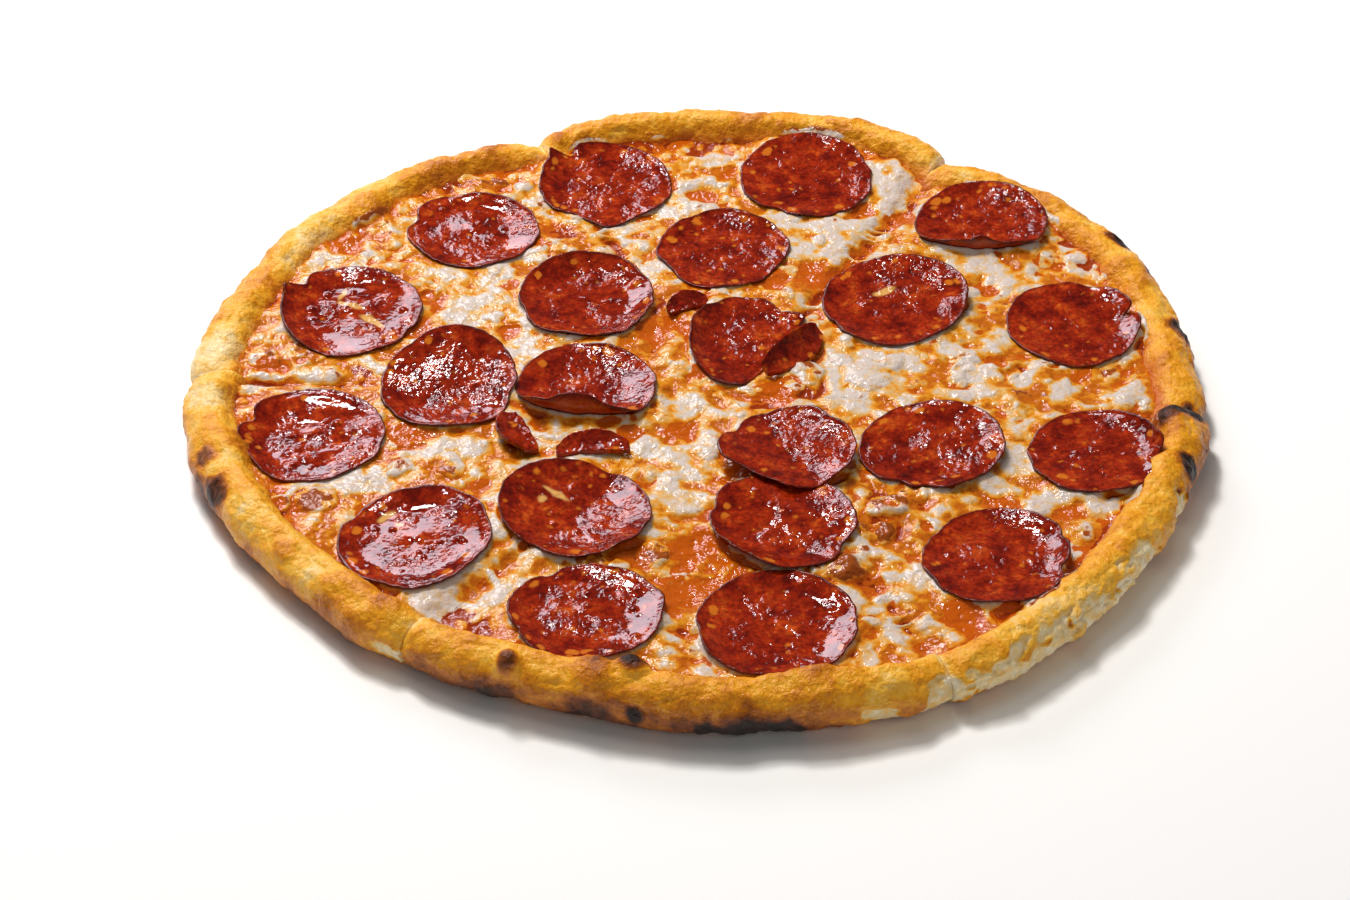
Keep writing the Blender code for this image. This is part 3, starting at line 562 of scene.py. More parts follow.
def shape_pepperoni(name, piece, number):
    """Gives the function that moves a spun section onto a slice, with its sizzled relief."""
    level_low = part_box("pepperoni_" + name)[0].z / MM
    chance = np.random.default_rng(400 + number)
    blobs = [(a, r * piece["size"] * RADIUS, s) for a, r, s in zip(
        chance.uniform(0, math.tau, 26), chance.uniform(0.15, 0.85, 26), chance.uniform(0.6, 1.7, 26))]
    blobs = blobs[:int(26 * max(piece["film"] + 0.25, 0.12))]

    def move(points):
        turn = np.arctan2(points[:, 1], points[:, 0])
        ring = np.rint(np.hypot(points[:, 0], points[:, 1])).astype(int) - SPUN_FROM
        share, level = PEPPERONI_SECTION[ring, 0], PEPPERONI_SECTION[ring, 1]
        x, y, z, swept, in_from_edge = curled(piece, share, turn, level)
        _, _, plain, _, _ = curled(piece, share, turn, level * 0, notched=False)
        z = z + level_low - plain.min() - PRESSED_IN
        if "crease" in piece:
            way, distance, rise = piece["crease"]
            over = x * math.cos(math.radians(way)) + y * math.sin(math.radians(way)) - distance
            folded = math.tan(math.radians(rise)) * np.maximum(np.sqrt(over ** 2 + 2.0) - 1.4, 0)
            z = z + np.minimum(folded, 2.6)
        here = np.column_stack([x + piece["at"][0], y + piece["at"][1], z])
        flat = here * (1, 1, 0) + (0, 0, number * 9.0)
        # The lean meat shrinks into fine knots, and the fat between them melts away
        shrunk = 0.4 + 0.6 * eased_step(-0.3, 0.3, ripples(flat, 14.0, 41))
        lumps = 0.20 * ripples(flat, 4.6, 31) + 0.13 * ripples(flat, 2.4, 32) + 0.09 * ripples(flat, 1.3, 33)
        ridges = 0.10 * (0.5 - np.abs(ripples(flat, 3.0, 34)) * 2)
        relief = 0.42 * ripples(flat, 11.0, 30) + (lumps + ridges) * shrunk
        where = layered(flat, 17.0, 2, 35) + 1.7 * piece["film"]
        depth = 0.42 * eased_step(-0.25, 0.45, where) - 0.34
        film = eased_step(-0.04, 0.06, depth - relief) * eased_step(1.0, 3.0, in_from_edge)
        film = np.maximum(film, 0.7 - 0.7 * shrunk)
        relief = np.maximum(relief, depth)
        for a, r, s in blobs:
            near = np.hypot(x - r * math.cos(a), y - r * math.sin(a)) / s
            relief = np.maximum(relief, np.where(near < 1, depth + 0.45 * s * (1 - near ** 2), -9))
        on_top = eased_step(0.4, 0.9, level)
        rim = eased_step(1.6, 0.3, in_from_edge)
        relief = relief * (1 - 0.5 * rim) + 0.2 * rim * (0.6 + ripples(flat, 2.2, 36))
        relief = relief * on_top + 0.25 * ripples(flat, 4.0, 37) * (1 - on_top) * (1 - rim)
        edge_wobble = (0.35 * ripples(flat, 2.6, 38) + 0.8 * ripples(flat, 9.0, 42)) * eased_step(
            5.0, 0.0, in_from_edge)
        x = x + (edge_wobble - relief * np.sin(swept)) * np.cos(turn)
        y = y + (edge_wobble - relief * np.sin(swept)) * np.sin(turn)
        z = z + relief * np.cos(swept)
        scorched = eased_step(0.75, 0.1, in_from_edge + 0.35 * ripples(flat, 4.0, 39))
        scorched *= 0.7 + 0.4 * ripples(flat, 9.0, 40)
        # Fat shows most in a broken ring inside the curled edge
        fatty = eased_step(0.7, 2.0, in_from_edge) * eased_step(7.5, 4.0, in_from_edge)
        fatty = 0.5 + 0.75 * fatty * eased_step(-0.4, 0.2, ripples(flat, 12.0, 43))
        creamy = np.zeros(len(x))
        for mx, my, long, wide, way in piece.get("creamy", ()):
            a = math.radians(way)
            dx, dy = x - mx + 0.9 * ripples(flat, 4.0, 44), y - my + 0.9 * ripples(flat, 4.0, 48)
            along = dx * math.cos(a) + dy * math.sin(a)
            across = dy * math.cos(a) - dx * math.sin(a)
            creamy = np.maximum(creamy, eased_step(1.2, 0.7, np.hypot(along / long, across / wide)))
        x, y = x + piece["at"][0], y + piece["at"][1]
        moved = np.clip(np.column_stack([x, y, z]), BOX_LOW + 0.05, BOX_HIGH - 0.05)
        # Painted glow: the undersides of the raised edges are coloured orange where light shines through the
        # thin slice
        underside_glow = (1 - on_top) * eased_step(1.0, 3.0, in_from_edge)
        return moved, {"scorched": scorched, "film": film * on_top, "fatty": fatty * on_top,
                       "creamy": creamy * on_top, "underside_glow": underside_glow}

    return move


# Cured pork and beef with paprika: deep red-brown lean, orange fat specks 1 to 2.5 mm across, a
# scorched edge, and a wet shine from its own fat.
sausage_material, tree, shader = new_material("pepperoni")
place = node(tree, "TexCoord").outputs["Object"]
scorched, film, fatty, creamy, underside_glow = (
    node(tree, "Attribute", {"attribute_name": label}).outputs["Fac"]
    for label in ("scorched", "film", "fatty", "creamy", "underside_glow"))
patches = node(tree, "TexNoise", inputs={"Vector": place, "Scale": 150.0, "Detail": 5.0, "Roughness": 0.65})
grain = node(tree, "TexNoise", inputs={"Vector": place, "Scale": 800.0, "Detail": 2.0})
knots = node(tree, "TexNoise", inputs={"Vector": place, "Scale": 420.0, "Detail": 1.0, "Distortion": 0.4})
bent = node(tree, "TexNoise", inputs={"Vector": place, "Scale": 260.0, "Detail": 2.0})
bent = node(tree, "VectorMath", {"operation": "MULTIPLY_ADD"}, {
    0: bent.outputs["Color"], 1: (0.003, 0.003, 0.003), 2: place})
fat = node(tree, "TexVoronoi", inputs={"Vector": bent.outputs[0], "Scale": 240.0, "Randomness": 1.0})
fat_size = node(tree, "SeparateColor", inputs={"Color": fat.outputs["Color"]})
fat_size = node(tree, "MapRange", inputs={
    "Value": fat_size.outputs[0], "From Min": 0.3, "From Max": 1.0, "To Max": 0.5})
fat_size = node(tree, "Math", {"operation": "MULTIPLY"}, {0: fat_size.outputs[0], 1: fatty})
fat_spot = node(tree, "Math", {"operation": "SUBTRACT"}, {
    0: fat_size.outputs[0], 1: fat.outputs["Distance"]})
fat_spot = node(tree, "MapRange", inputs={
    "Value": fat_spot.outputs[0], "From Min": -0.05, "From Max": 0.15, "To Max": 0.85})
lean = node(tree, "ValToRGB", inputs={"Fac": patches.outputs["Fac"]}, stops=(
    (0.3, "520A02"), (0.72, "C05014"), (0.42, "741303"), (0.57, "9A2807")))
contrast = node(tree, "MapRange", inputs={
    "Value": grain.outputs["Fac"], "From Min": 0.3, "From Max": 0.7})
tint = node(tree, "Mix", {"data_type": "RGBA", "blend_type": "OVERLAY"}, {
    0: 0.38, 6: lean.outputs["Color"], 7: contrast.outputs[0]})
# Over the lean: specks and lumps of fat, undersides coloured orange as a painted glow of light through the
# thin slice, the scorched edge
for amount, tone in ((fat_spot.outputs[0], "D4741C"), (creamy, "D9A45A"), (underside_glow, "B8440E"),
                     (scorched, "501608")):
    tint = node(tree, "Mix", {"data_type": "RGBA"}, {0: amount, 6: tint.outputs[2], 7: colour(tone)})
wet = node(tree, "MapRange", inputs={"Value": film, "To Min": 0.1, "To Max": 0.04})
wet = node(tree, "Math", {"operation": "MULTIPLY_ADD"}, {0: scorched, 1: 0.3, 2: wet.outputs[0]})
for label, value in (("Specular IOR Level", 0.5), ("Subsurface Weight", 0.1),
                     ("Subsurface Radius", (1.0, 0.25, 0.1)), ("Subsurface Scale", 0.0015)):
    shader.inputs[label].default_value = value
dry = node(tree, "MapRange", inputs={"Value": film, "To Min": 0.32, "To Max": 0.04})
bumps = node(tree, "Bump", inputs={
    "Height": knots.outputs["Fac"], "Strength": dry.outputs[0], "Distance": 0.0011})
bumps = node(tree, "Bump", inputs={
    "Height": grain.outputs["Fac"], "Strength": dry.outputs[0], "Distance": 0.0006,
    "Normal": bumps.outputs["Normal"]})
for output, label in ((tint.outputs[2], "Base Color"), (wet.outputs[0], "Roughness"),
                      (bumps.outputs["Normal"], "Normal")):
    tree.links.new(output, shader.inputs[label])

# The section that is spun into each slice: its share of the radius and its level, from the middle
# of the underside round the edge to the middle of the top
PEPPERONI_SECTION = np.array(
    [(s, 0.0) for s in np.linspace(0.02, 0.985, 11)]
    + [(1.0, 0.12), (1.008, 0.5), (1.0, 0.88)]
    + [(s, 1.0) for s in np.linspace(0.985, 0.02, TOP_RINGS)])
pepperoni_pieces = {}
for number, (name, piece) in enumerate(PEPPERONI.items()):
    bm = spun_section(len(PEPPERONI_SECTION), math.tau, TURN_STEPS, whole=True)
    bmesh.ops.holes_fill(bm, edges=[e for e in bm.edges if e.is_boundary], sides=0)
    pepperoni_pieces[name] = finish_piece(
        "pepperoni_slice_" + name, bm, sausage_material,
        shape_pepperoni(name, piece, number), ["pepperoni_" + name])


# ---------------------------------------------------------------------------------------------
# Scraps of pepperoni: strips that the cutter parted from their slices, or that cheese half covers.
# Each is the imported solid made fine, with the same sizzled relief as the slices.
# ---------------------------------------------------------------------------------------------
for number, name in enumerate(("1", "2", "3", "4")):
    bm = bmesh.new()
    bm.from_mesh(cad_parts["pepperoni_scrap_" + name].data)
    bmesh.ops.remove_doubles(bm, verts=bm.verts, dist=1e-6)
    bmesh.ops.scale(bm, vec=(1000, 1000, 1000), verts=bm.verts)
    bmesh.ops.subdivide_edges(bm, edges=bm.edges, cuts=5, use_grid_fill=True)

    def move(points):
        flat = points * (1, 1, 0) + (0, 0, 300.0 + number)
        moved = points + np.column_stack([
            0.3 * ripples(flat, 3.0, 45), 0.3 * ripples(flat, 3.0, 46),
            0.30 * ripples(flat, 4.0, 31) + 0.2 * ripples(flat, 2.2, 32) + 0.12 * ripples(flat, 1.3, 33)])
        scorched = 0.25 * eased_step(0.1, 0.7, ripples(flat, 6.0, 47))
        return moved, {"scorched": scorched, "film": 0 * scorched, "fatty": 0 * scorched + 1.0}

    finish_piece("pepperoni_strip_" + name, bm, sausage_material, move,
                 ["pepperoni_scrap_" + name])


# ---------------------------------------------------------------------------------------------
# Cheese: shredded mozzarella that melted together. Shreds still show as soft strings, thick places
# stayed ivory, blisters toasted brown, and orange pepperoni oil fills the hollows, which are also
# darkened as painted shade. It melted round the slices of pepperoni, climbs the rim, and closed
# again over the cuts near the middle.
# ---------------------------------------------------------------------------------------------
MAP_STEP = 0.5
MAP_REACH = 172.0
SIDE = np.arange(-MAP_REACH, MAP_REACH + MAP_STEP / 2, MAP_STEP)
X, Y = np.meshgrid(SIDE, SIDE, indexing="ij")
FLAT_PLACES = np.column_stack([X.ravel(), Y.ravel(), np.zeros(X.size)])
FROM_HUB = np.hypot(X - HUB[0], Y - HUB[1])
CHEESE_TOP, CHEESE_BOTTOM = 9.0, 6.1
# White pools of thick cheese, places where oil lies, where sauce shows and where it toasted:
# middle and reach
MILK = [(57, 5, 15), (66, 15, 10), (85, 18, 6), (52, -9, 9), (78, -5, 5), (108, 0, 5), (70, 121, 11),
        (72, 107, 6), (45, 84, 13), (35, 96, 8), (60, 90, 8), (95, 70, 10), (104, 62, 6), (93, 50, 5),
        (103, -45, 9), (95, -56, 7), (111, -63, 5), (65, -103, 7), (62, -125, 6), (46, -110, 5),
        (-3, -41, 10), (-2, -12, 8), (-6, -60, 8), (-13, -36, 7), (-87, 60, 9), (-67, 62, 8), (-72, 40, 12),
        (-58, 20, 8), (-25, 93, 8), (-13, 64, 6), (-8, 102, 5), (-122, 1, 7), (-104, 8, 6), (92, 5, 8),
        (-137, -36, 5), (-112, -50, 10), (-98, -53, 9), (100, 22, 7), (118, -6, 6), (-75, -38, 9),
        (-50, -46, 6), (-75, -112, 10), (-72, -99, 6), (-58, -108, 8), (-55, -92, 6), (5, 62, 5),
        (8, 135, 6)]
OIL = [(4, -88, 13), (0, -106, 9), (15, -99, 6), (-20, -90, 8), (-8, -112, 7), (-10, 30, 12), (-33, 26, 6),
       (-60, 28, 5), (-56, 83, 7), (-45, 89, 6), (-88, 47, 7), (-92, 30, 6), (42, 62, 9), (30, 60, 6),
       (111, 78, 4), (12, 126, 6), (60, 101, 5), (40, 15, 5), (27, -6, 9), (8, 8, 7), (-3, -25, 7),
       (-20, -28, 5), (-88, -30, 8), (95, -66, 6), (116, -70, 6), (78, -120, 8), (92, -117, 6),
       (52, -104, 5), (-118, 78, 7), (-137, 8, 7), (-66, -54, 4), (5, 110, 6), (74, 98, 6), (108, 14, 3),
       (126, 4, 5), (-62, 56, 4), (100, 52, 4)]
SAUCY = [(-66, -122, 10), (-72, -127, 8), (-42, 88, 7), (-54, -32, 6), (-11, 45, 5), (36, 10, 6),
         (-116, -62, 6), (-20, 140, 8), (4, 143, 7), (134, 66, 4), (130, 80, 4), (-100, 122, 7),
         (-84, 118, 6), (-52, -55, 6), (58, -60, 6), (39, -3, 6), (-106, 4, 5), (22, -10, 5)]
TOASTED = [(62, -62, 9), (60, -78, 7), (52, -90, 5), (109, -8, 7), (88, 12, 4), (95, 26, 5), (79, -3, 3),
           (105, 13, 4), (108, 46, 5), (100, 37, 5), (43, 66, 6), (61, 29, 4), (65, 10, 3.5), (73, 2, 3),
           (-12, -90, 5), (-115, -65, 7), (-127, -66, 5), (-91, -47, 6), (-75, -45, 6), (-112, 92, 12),
           (-105, 105, 9), (-72, 122, 9), (-133, 13, 10), (-120, 4, 5), (-118, 78, 6), (-32, -96, 5),
           (62, 64, 5), (132, 4, 6), (46, -98, 7), (49, 98, 4)]
# Blisters: middle, radius and height. Craters: blisters that burst, a ring round a pool of oil
BLISTERS = [(60, -66, 6.5, 1.7), (69, -60, 5, 1.3), (57, -80, 5.5, 1.4), (66, -85, 4.5, 1.2),
            (52, -58, 4.5, 1.1), (48, -97, 7, 1.9), (40, -99, 4, 1.2), (57, 3, 9, 1.2),
            (66, 10, 5, 1.1), (50, 12, 4.5, 0.9), (98, 4, 5, 1.2), (106, 12, 4.5, 1.0),
            (112, 2, 4, 0.9), (86, 0, 4, 1.0), (-12, -90, 6, 1.4), (-22, -96, 4, 1.2),
            (-140, 12, 6, 1.5), (-125, 12, 4.5, 1.1), (-108, 20, 4, 1.0), (-127, -66, 5, 1.3),
            (-115, -63, 6.5, 1.6), (-117, -77, 4.5, 1.1), (-75, -45, 6, 1.4), (-91, -47, 4.5, 1.2),
            (72, 128, 5, 0.8), (132, 70, 4, 1.0), (30, -64, 4, 0.9), (38, 4, 6, 2.0),
            (33, -3, 4, 1.4), (-57, -38, 4, 1.0)]
CRATERS = [(62, -66, 3.4), (57, -79, 3.0), (70, -75, 2.6), (101, 8, 2.6), (-126, -66, 3.0), (-101, -54, 2.6),
           (-90, 48, 2.6), (117, 8, 2.4), (88, 6, 2.4), (-128, 10, 2.6)]
# The cuts by their angles: the groove's depth and width at distances along the cut from the hub
GROOVES = {
    -6.0: ((0, 0.1, 1.6), (60, 0.2, 1.6), (110, 0.9, 2.0), (150, 2.0, 2.4)),
    60.4: ((0, 0.1, 1.5), (45, 0.7, 2.0), (70, 2.6, 3.2), (110, 3.0, 4.0), (165, 3.2, 5.0)),
    114.0: ((0, 0.1, 1.5), (60, 0.5, 2.0), (95, 2.2, 2.8), (130, 1.6, 2.6), (170, 2.4, 3.0)),
    178.4: ((0, 0.1, 1.5), (90, 0.4, 1.8), (140, 1.6, 2.2), (175, 2.4, 2.6)),
    232.8: ((0, 0.1, 1.8), (60, 0.6, 2.2), (105, 1.9, 3.2), (150, 2.8, 4.5), (165, 3.2, 5.0)),
    293.4: ((0, 0.1, 1.6), (70, 0.5, 2.0), (105, 1.2, 2.8), (135, 1.9, 3.4), (160, 3.0, 3.6)),
}


def over_map(size, layers, seed, fall=0.5):
    """Layered noise at every place of the map."""
    return layered(FLAT_PLACES, size, layers, seed, fall).reshape(X.shape)


def softened(amount, reach):
    """A map with everything finer than the reach melted smooth."""
    waves = np.fft.fftfreq(len(SIDE), MAP_STEP)
    keep = np.exp(-2 * (math.pi * reach) ** 2 * (waves[:, None] ** 2 + waves[None, :] ** 2))
    return np.fft.ifft2(np.fft.fft2(amount) * keep).real


def around(x, y, reach):
    """The part of the maps within reach of a place."""
    first = [max(int((v - reach + MAP_REACH) / MAP_STEP), 0) for v in (x, y)]
    last = [min(int((v + reach + MAP_REACH) / MAP_STEP) + 2, len(SIDE)) for v in (x, y)]
    return slice(first[0], last[0]), slice(first[1], last[1])


def strewn(places):
    """A map that is 1 at the middle of each place and fades to 0 at its edge."""
    amount = np.zeros(X.shape)
    for x, y, reach in places:
        part = around(x, y, reach * 1.6)
        away = np.hypot(BENT_X[part] - x, BENT_Y[part] - y) / reach
        amount[part] = np.maximum(amount[part], eased_step(1.3, 0.45, away))
    return amount


# Everything is drawn on a plan that is bent a little, so that nothing stays round or straight
BENT_X = X + 2.6 * over_map(16.0, 3, 51)
BENT_Y = Y + 2.6 * over_map(16.0, 3, 52)
chance = np.random.default_rng(7)
# The shreds: bowed ridges 8 to 26 mm long, the highest showing wherever several cross
strings, string_tone = np.zeros(X.shape), np.full(X.shape, 0.3)
for _ in range(1500):
    x, y = chance.uniform(-150, 150, 2)
    length, half = chance.uniform(8, 26), chance.uniform(1.4, 4.2)
    way, bow, tone = chance.uniform(0, math.tau), chance.uniform(-5, 5), chance.uniform()
    part = around(x, y, length / 2 + half + abs(bow) + 3)
    dx, dy = BENT_X[part] - x, BENT_Y[part] - y
    along = dx * math.cos(way) + dy * math.sin(way)
    across = dy * math.cos(way) - dx * math.sin(way) - bow * (2 * along / length) ** 2
    past_end = np.maximum(np.abs(along) - length / 2, 0)
    rise = half * 0.4 * np.sqrt(np.clip(1 - (across ** 2 + past_end ** 2) / half ** 2, 0, 1))
    higher = rise > strings[part]
    strings[part] = np.where(higher, rise, strings[part])
    string_tone[part] = np.where(higher, tone, string_tone[part])
strings = softened(strings, 0.9)
string_tone = softened(string_tone, 0.8)

milk_places, oil_places = strewn(MILK), strewn(OIL)
saucy_places, toasted_places = strewn(SAUCY), strewn(TOASTED)
# Small blisters strewn between the larger ones
for _ in range(150):
    x, y = chance.uniform(-145, 145, 2)
    BLISTERS.append((x, y, chance.uniform(1.6, 4.2), chance.uniform(0.5, 1.1)))
blisters = np.zeros(X.shape)
for x, y, radius, rise in BLISTERS:
    part = around(x, y, radius + 4)
    near = np.clip(1 - ((BENT_X[part] - x) ** 2 + (BENT_Y[part] - y) ** 2) / radius ** 2, 0, 1)
    blisters[part] = np.maximum(blisters[part], rise * np.sqrt(near) * eased_step(0, 0.3, near))
craters = np.zeros(X.shape)
crater_pools = np.zeros(X.shape)
for x, y, radius in CRATERS:
    part = around(x, y, radius + 6)
    away = np.hypot(BENT_X[part] - x, BENT_Y[part] - y)
    craters[part] += 0.6 * np.exp(-(((away - radius) / 1.1) ** 2))
    craters[part] -= 0.4 * eased_step(radius, radius - 1.5, away)
    crater_pools[part] = np.maximum(crater_pools[part], eased_step(radius, radius - 1.2, away))

# The free surface, before the cuts and the pepperoni
lumpy = 1.5 * (np.abs(over_map(14.0, 1, 69)) - 0.25) + 0.35 * (np.abs(over_map(6.0, 1, 70)) - 0.2)
surface = CHEESE_TOP - 0.55 + 1.7 * (FROM_HUB / 163.0) ** 3 + lumpy * (1 - 0.5 * milk_places)
surface += 0.6 * over_map(26.0, 1, 53) + 0.4 * over_map(11.0, 2, 54)
surface += strings * (1 - 0.75 * milk_places) * (1 - 0.5 * oil_places) * (0.8 + 0.5 * over_map(20.0, 1, 55))
surface += 0.75 * milk_places - 0.35 * oil_places - 0.6 * saucy_places
surface += blisters * 0.9 + craters * 0.8
surface += (0.22 * over_map(3.6, 2, 56) + 0.10 * over_map(1.7, 1, 57)) * (1 - 0.6 * milk_places)
for x, y, reach, rise in ((60, -66, 11, 1.2), (44, -97, 8, 1.3), (57, 3, 11, 0.8)):
    part = around(x, y, reach)
    surface[part] += rise * np.clip(1 - ((X[part] - x) ** 2 + (Y[part] - y) ** 2) / reach ** 2, 0, 1) ** 2

# Where the rim's inner slope lies over the cheese, read from the crust pieces
inward = np.full(X.shape, 99.0)
for name in SLICE_NAMES:
    start, end = slice_span(name)
    bearing = (np.degrees(np.arctan2(Y - HUB[1], X - HUB[0])) - start) % 360
    here = bearing <= end - start
    inward[here] = through_knots(SLICES[name]["outline"], bearing[here] / (end - start)) - FROM_HUB[here]
rim_surface = np.full(X.shape, -50.0)
graph = bpy.context.evaluated_depsgraph_get()
trees = [BVHTree.FromObject(piece, graph) for piece in dough_pieces]
for i, j in np.argwhere((inward > 11.5) & (inward < 26.0)):
    for crust_tree in trees:
        hit = crust_tree.ray_cast(Vector((X[i, j], Y[i, j], 50.0)) * MM, Vector((0, 0, -1)))[0]
        if hit:
            rim_surface[i, j] = max(rim_surface[i, j], hit.z / MM)
            break
rim_surface = np.where(rim_surface > -49, rim_surface, 0)
# A film of cheese clings to the slope, up to an uneven line
climbs_to = 17.6 + 1.5 * over_map(13.0, 3, 58)
climbing = rim_surface + 0.75 * eased_step(climbs_to - 1.4, climbs_to + 1.6, inward) - 0.5
surface = np.where(inward < 25.5, np.maximum(surface, np.minimum(climbing, 14.5)), surface)

# The cuts, bridged here and there by strings that did not part
groove, cut_near = np.zeros(X.shape), np.zeros(X.shape)
for cut_angle, stations in GROOVES.items():
    ax, ay = math.cos(math.radians(cut_angle)), math.sin(math.radians(cut_angle))
    along = (X - HUB[0]) * ax + (Y - HUB[1]) * ay
    across = (Y - HUB[1]) * ax - (X - HUB[0]) * ay
    distances, depths, widths = zip(*stations)
    depth = np.interp(along, distances, depths) * (along > -1) * (1 + 0.35 * over_map(9.0, 2, 59))
    width = np.interp(along, distances, widths) * (1 + 0.3 * over_map(12.0, 2, 60))
    wander = 0.7 * over_map(10.0, 2, 61)
    profile = np.exp(-(((across + wander) / width) ** 2)) * (along > 0)
    bridge = np.zeros(X.shape)
    for at in chance.uniform(5, 135, 16):
        half, slant = chance.uniform(0.6, 1.8), chance.uniform(-0.7, 0.7)
        bridge = np.maximum(bridge, np.exp(-(((along - at - slant * across) / half) ** 2)) * np.exp(
            -((across / 9.0) ** 2)))
    bridge *= np.interp(along, distances, [1.0 if d < 2.4 else 0.75 for d in depths])
    groove = np.maximum(groove, depth * profile * (1 - 0.75 * bridge))
    cut_near = np.maximum(cut_near, profile * np.clip(depth / 2.5, 0, 1) * (1 - 0.7 * bridge))
surface = np.maximum(surface - groove, CHEESE_BOTTOM + 0.25)

# The pepperoni's undersides: the cheese meets each slice where it lies flat, and stays under it
underside = np.full(X.shape, 99.0)
for name, piece in pepperoni_pieces.items():
    slice_tree = BVHTree.FromObject(piece, graph)
    part = around(*PEPPERONI[name]["at"], RADIUS * 1.12)
    for i in range(part[0].start, part[0].stop):
        for j in range(part[1].start, part[1].stop):
            hit = slice_tree.ray_cast(Vector((X[i, j] * MM, Y[i, j] * MM, 0.0)), Vector((0, 0, 1)))[0]
            if hit:
                underside[i, j] = min(underside[i, j], hit.z / MM)
covered = underside < 90
gap = underside - surface
lifted = np.where(covered, np.where(gap < 0.3, gap - 0.3, (gap - 0.3) * eased_step(5.5, 2.2, gap)), 0.0)
banked = np.where(covered, lifted, 2.0 * softened(lifted, 4.0) + 0.3 * softened(covered * 1.0, 2.0))
surface = np.minimum(surface + softened(banked, 0.5), underside - 0.15)
# Beside the slices the cheese is coloured with oil: partly oil that ran from them, partly painted shade
# under their edges
oil_and_shade_beside = eased_step(0.0, 0.8, softened(covered.astype(float), 1.8))

# What the surface is at each place follows its relief: oil in the hollows, toasting on the tops, and painted
# shade that turns hollows and crevices orange and brown
hollow = softened(np.minimum(surface, 13.0), 3.0) - surface
crevice_shade = softened(surface, 1.3) - surface
patchy = over_map(24.0, 3, 62)
fine = over_map(6.0, 3, 63)
milk = 0.42 + 0.5 * (string_tone - 0.5) + 0.5 * patchy + 0.7 * over_map(12.0, 2, 71) + 0.5 * fine
# Hollows and crevices lose their white and gain oil and sauce: partly real pooling, partly painted shade
milk += -0.7 * hollow - 0.5 * crevice_shade
milk = np.clip(milk + 0.62 * milk_places - 0.5 * oil_places - 0.25 * toasted_places, 0, 1)
oil = -0.20 + 0.7 * hollow + 0.6 * crevice_shade + 0.7 * over_map(15.0, 3, 64) + 0.2 * fine
oil += 0.9 * oil_places - 0.85 * milk_places + 0.6 * crater_pools + 0.3 * cut_near
oil += oil_and_shade_beside * (0.6 + 0.9 * over_map(9.0, 2, 68))
oil = eased_step(0.05, 0.65, oil)
toast = -0.40 - 0.4 * hollow + 0.6 * over_map(11.0, 2, 65) + 0.5 * over_map(3.6, 3, 66)
toast += 0.22 * blisters + 0.42 * toasted_places - 0.5 * milk_places + 0.25 * cut_near
toast = eased_step(0.05, 0.7, toast)
saucy = -0.68 + 0.9 * saucy_places + 0.6 * over_map(12.0, 3, 67) + 0.8 * hollow + 0.6 * crevice_shade
saucy += 0.1 * cut_near + 0.1 * eased_step(19.0, 16.0, inward)
saucy = eased_step(0.1, 0.7, saucy)
cheese_maps = {"milk": milk, "oil": oil, "toast": toast, "saucy": saucy}


def read_map(amount, x, y):
    """A map's value between its places."""
    i, j = (x + MAP_REACH) / MAP_STEP, (y + MAP_REACH) / MAP_STEP
    i = np.clip(i, 0, len(SIDE) - 1.001)
    j = np.clip(j, 0, len(SIDE) - 1.001)
    i0, j0 = i.astype(int), j.astype(int)
    u, v = i - i0, j - j0
    return ((1 - u) * (1 - v) * amount[i0, j0] + u * (1 - v) * amount[i0 + 1, j0]
            + (1 - u) * v * amount[i0, j0 + 1] + u * v * amount[i0 + 1, j0 + 1])


def lay_cheese(points):
    """Moves a flat piece of cheese onto the melted surface, and says what each place of it is."""
    x, y = points[:, 0], points[:, 1]
    top = points[:, 2] > -1
    z = np.where(top, read_map(surface, x, y), CHEESE_BOTTOM)
    amounts = {label: read_map(amount, x, y) for label, amount in cheese_maps.items()}
    return np.column_stack([x, y, z]), amounts


# Low-moisture mozzarella: ivory where thick, creamy yellow where thin, with free orange oil, brown
# toasted skin, and a wet gloss. It is slightly translucent.
cheese_material, tree, shader = new_material("melted_cheese")
place = node(tree, "TexCoord").outputs["Object"]
marbling = node(tree, "TexNoise", inputs={"Vector": place, "Scale": 330.0, "Detail": 5.0, "Roughness": 0.6})
melts = node(tree, "TexNoise", inputs={"Vector": place, "Scale": 380.0, "Detail": 1.0, "Distortion": 0.5})
grain = node(tree, "TexNoise", inputs={"Vector": place, "Scale": 1000.0, "Detail": 1.0})
shades = node(tree, "SeparateColor", inputs={"Color": marbling.outputs["Color"]})
parts = {}
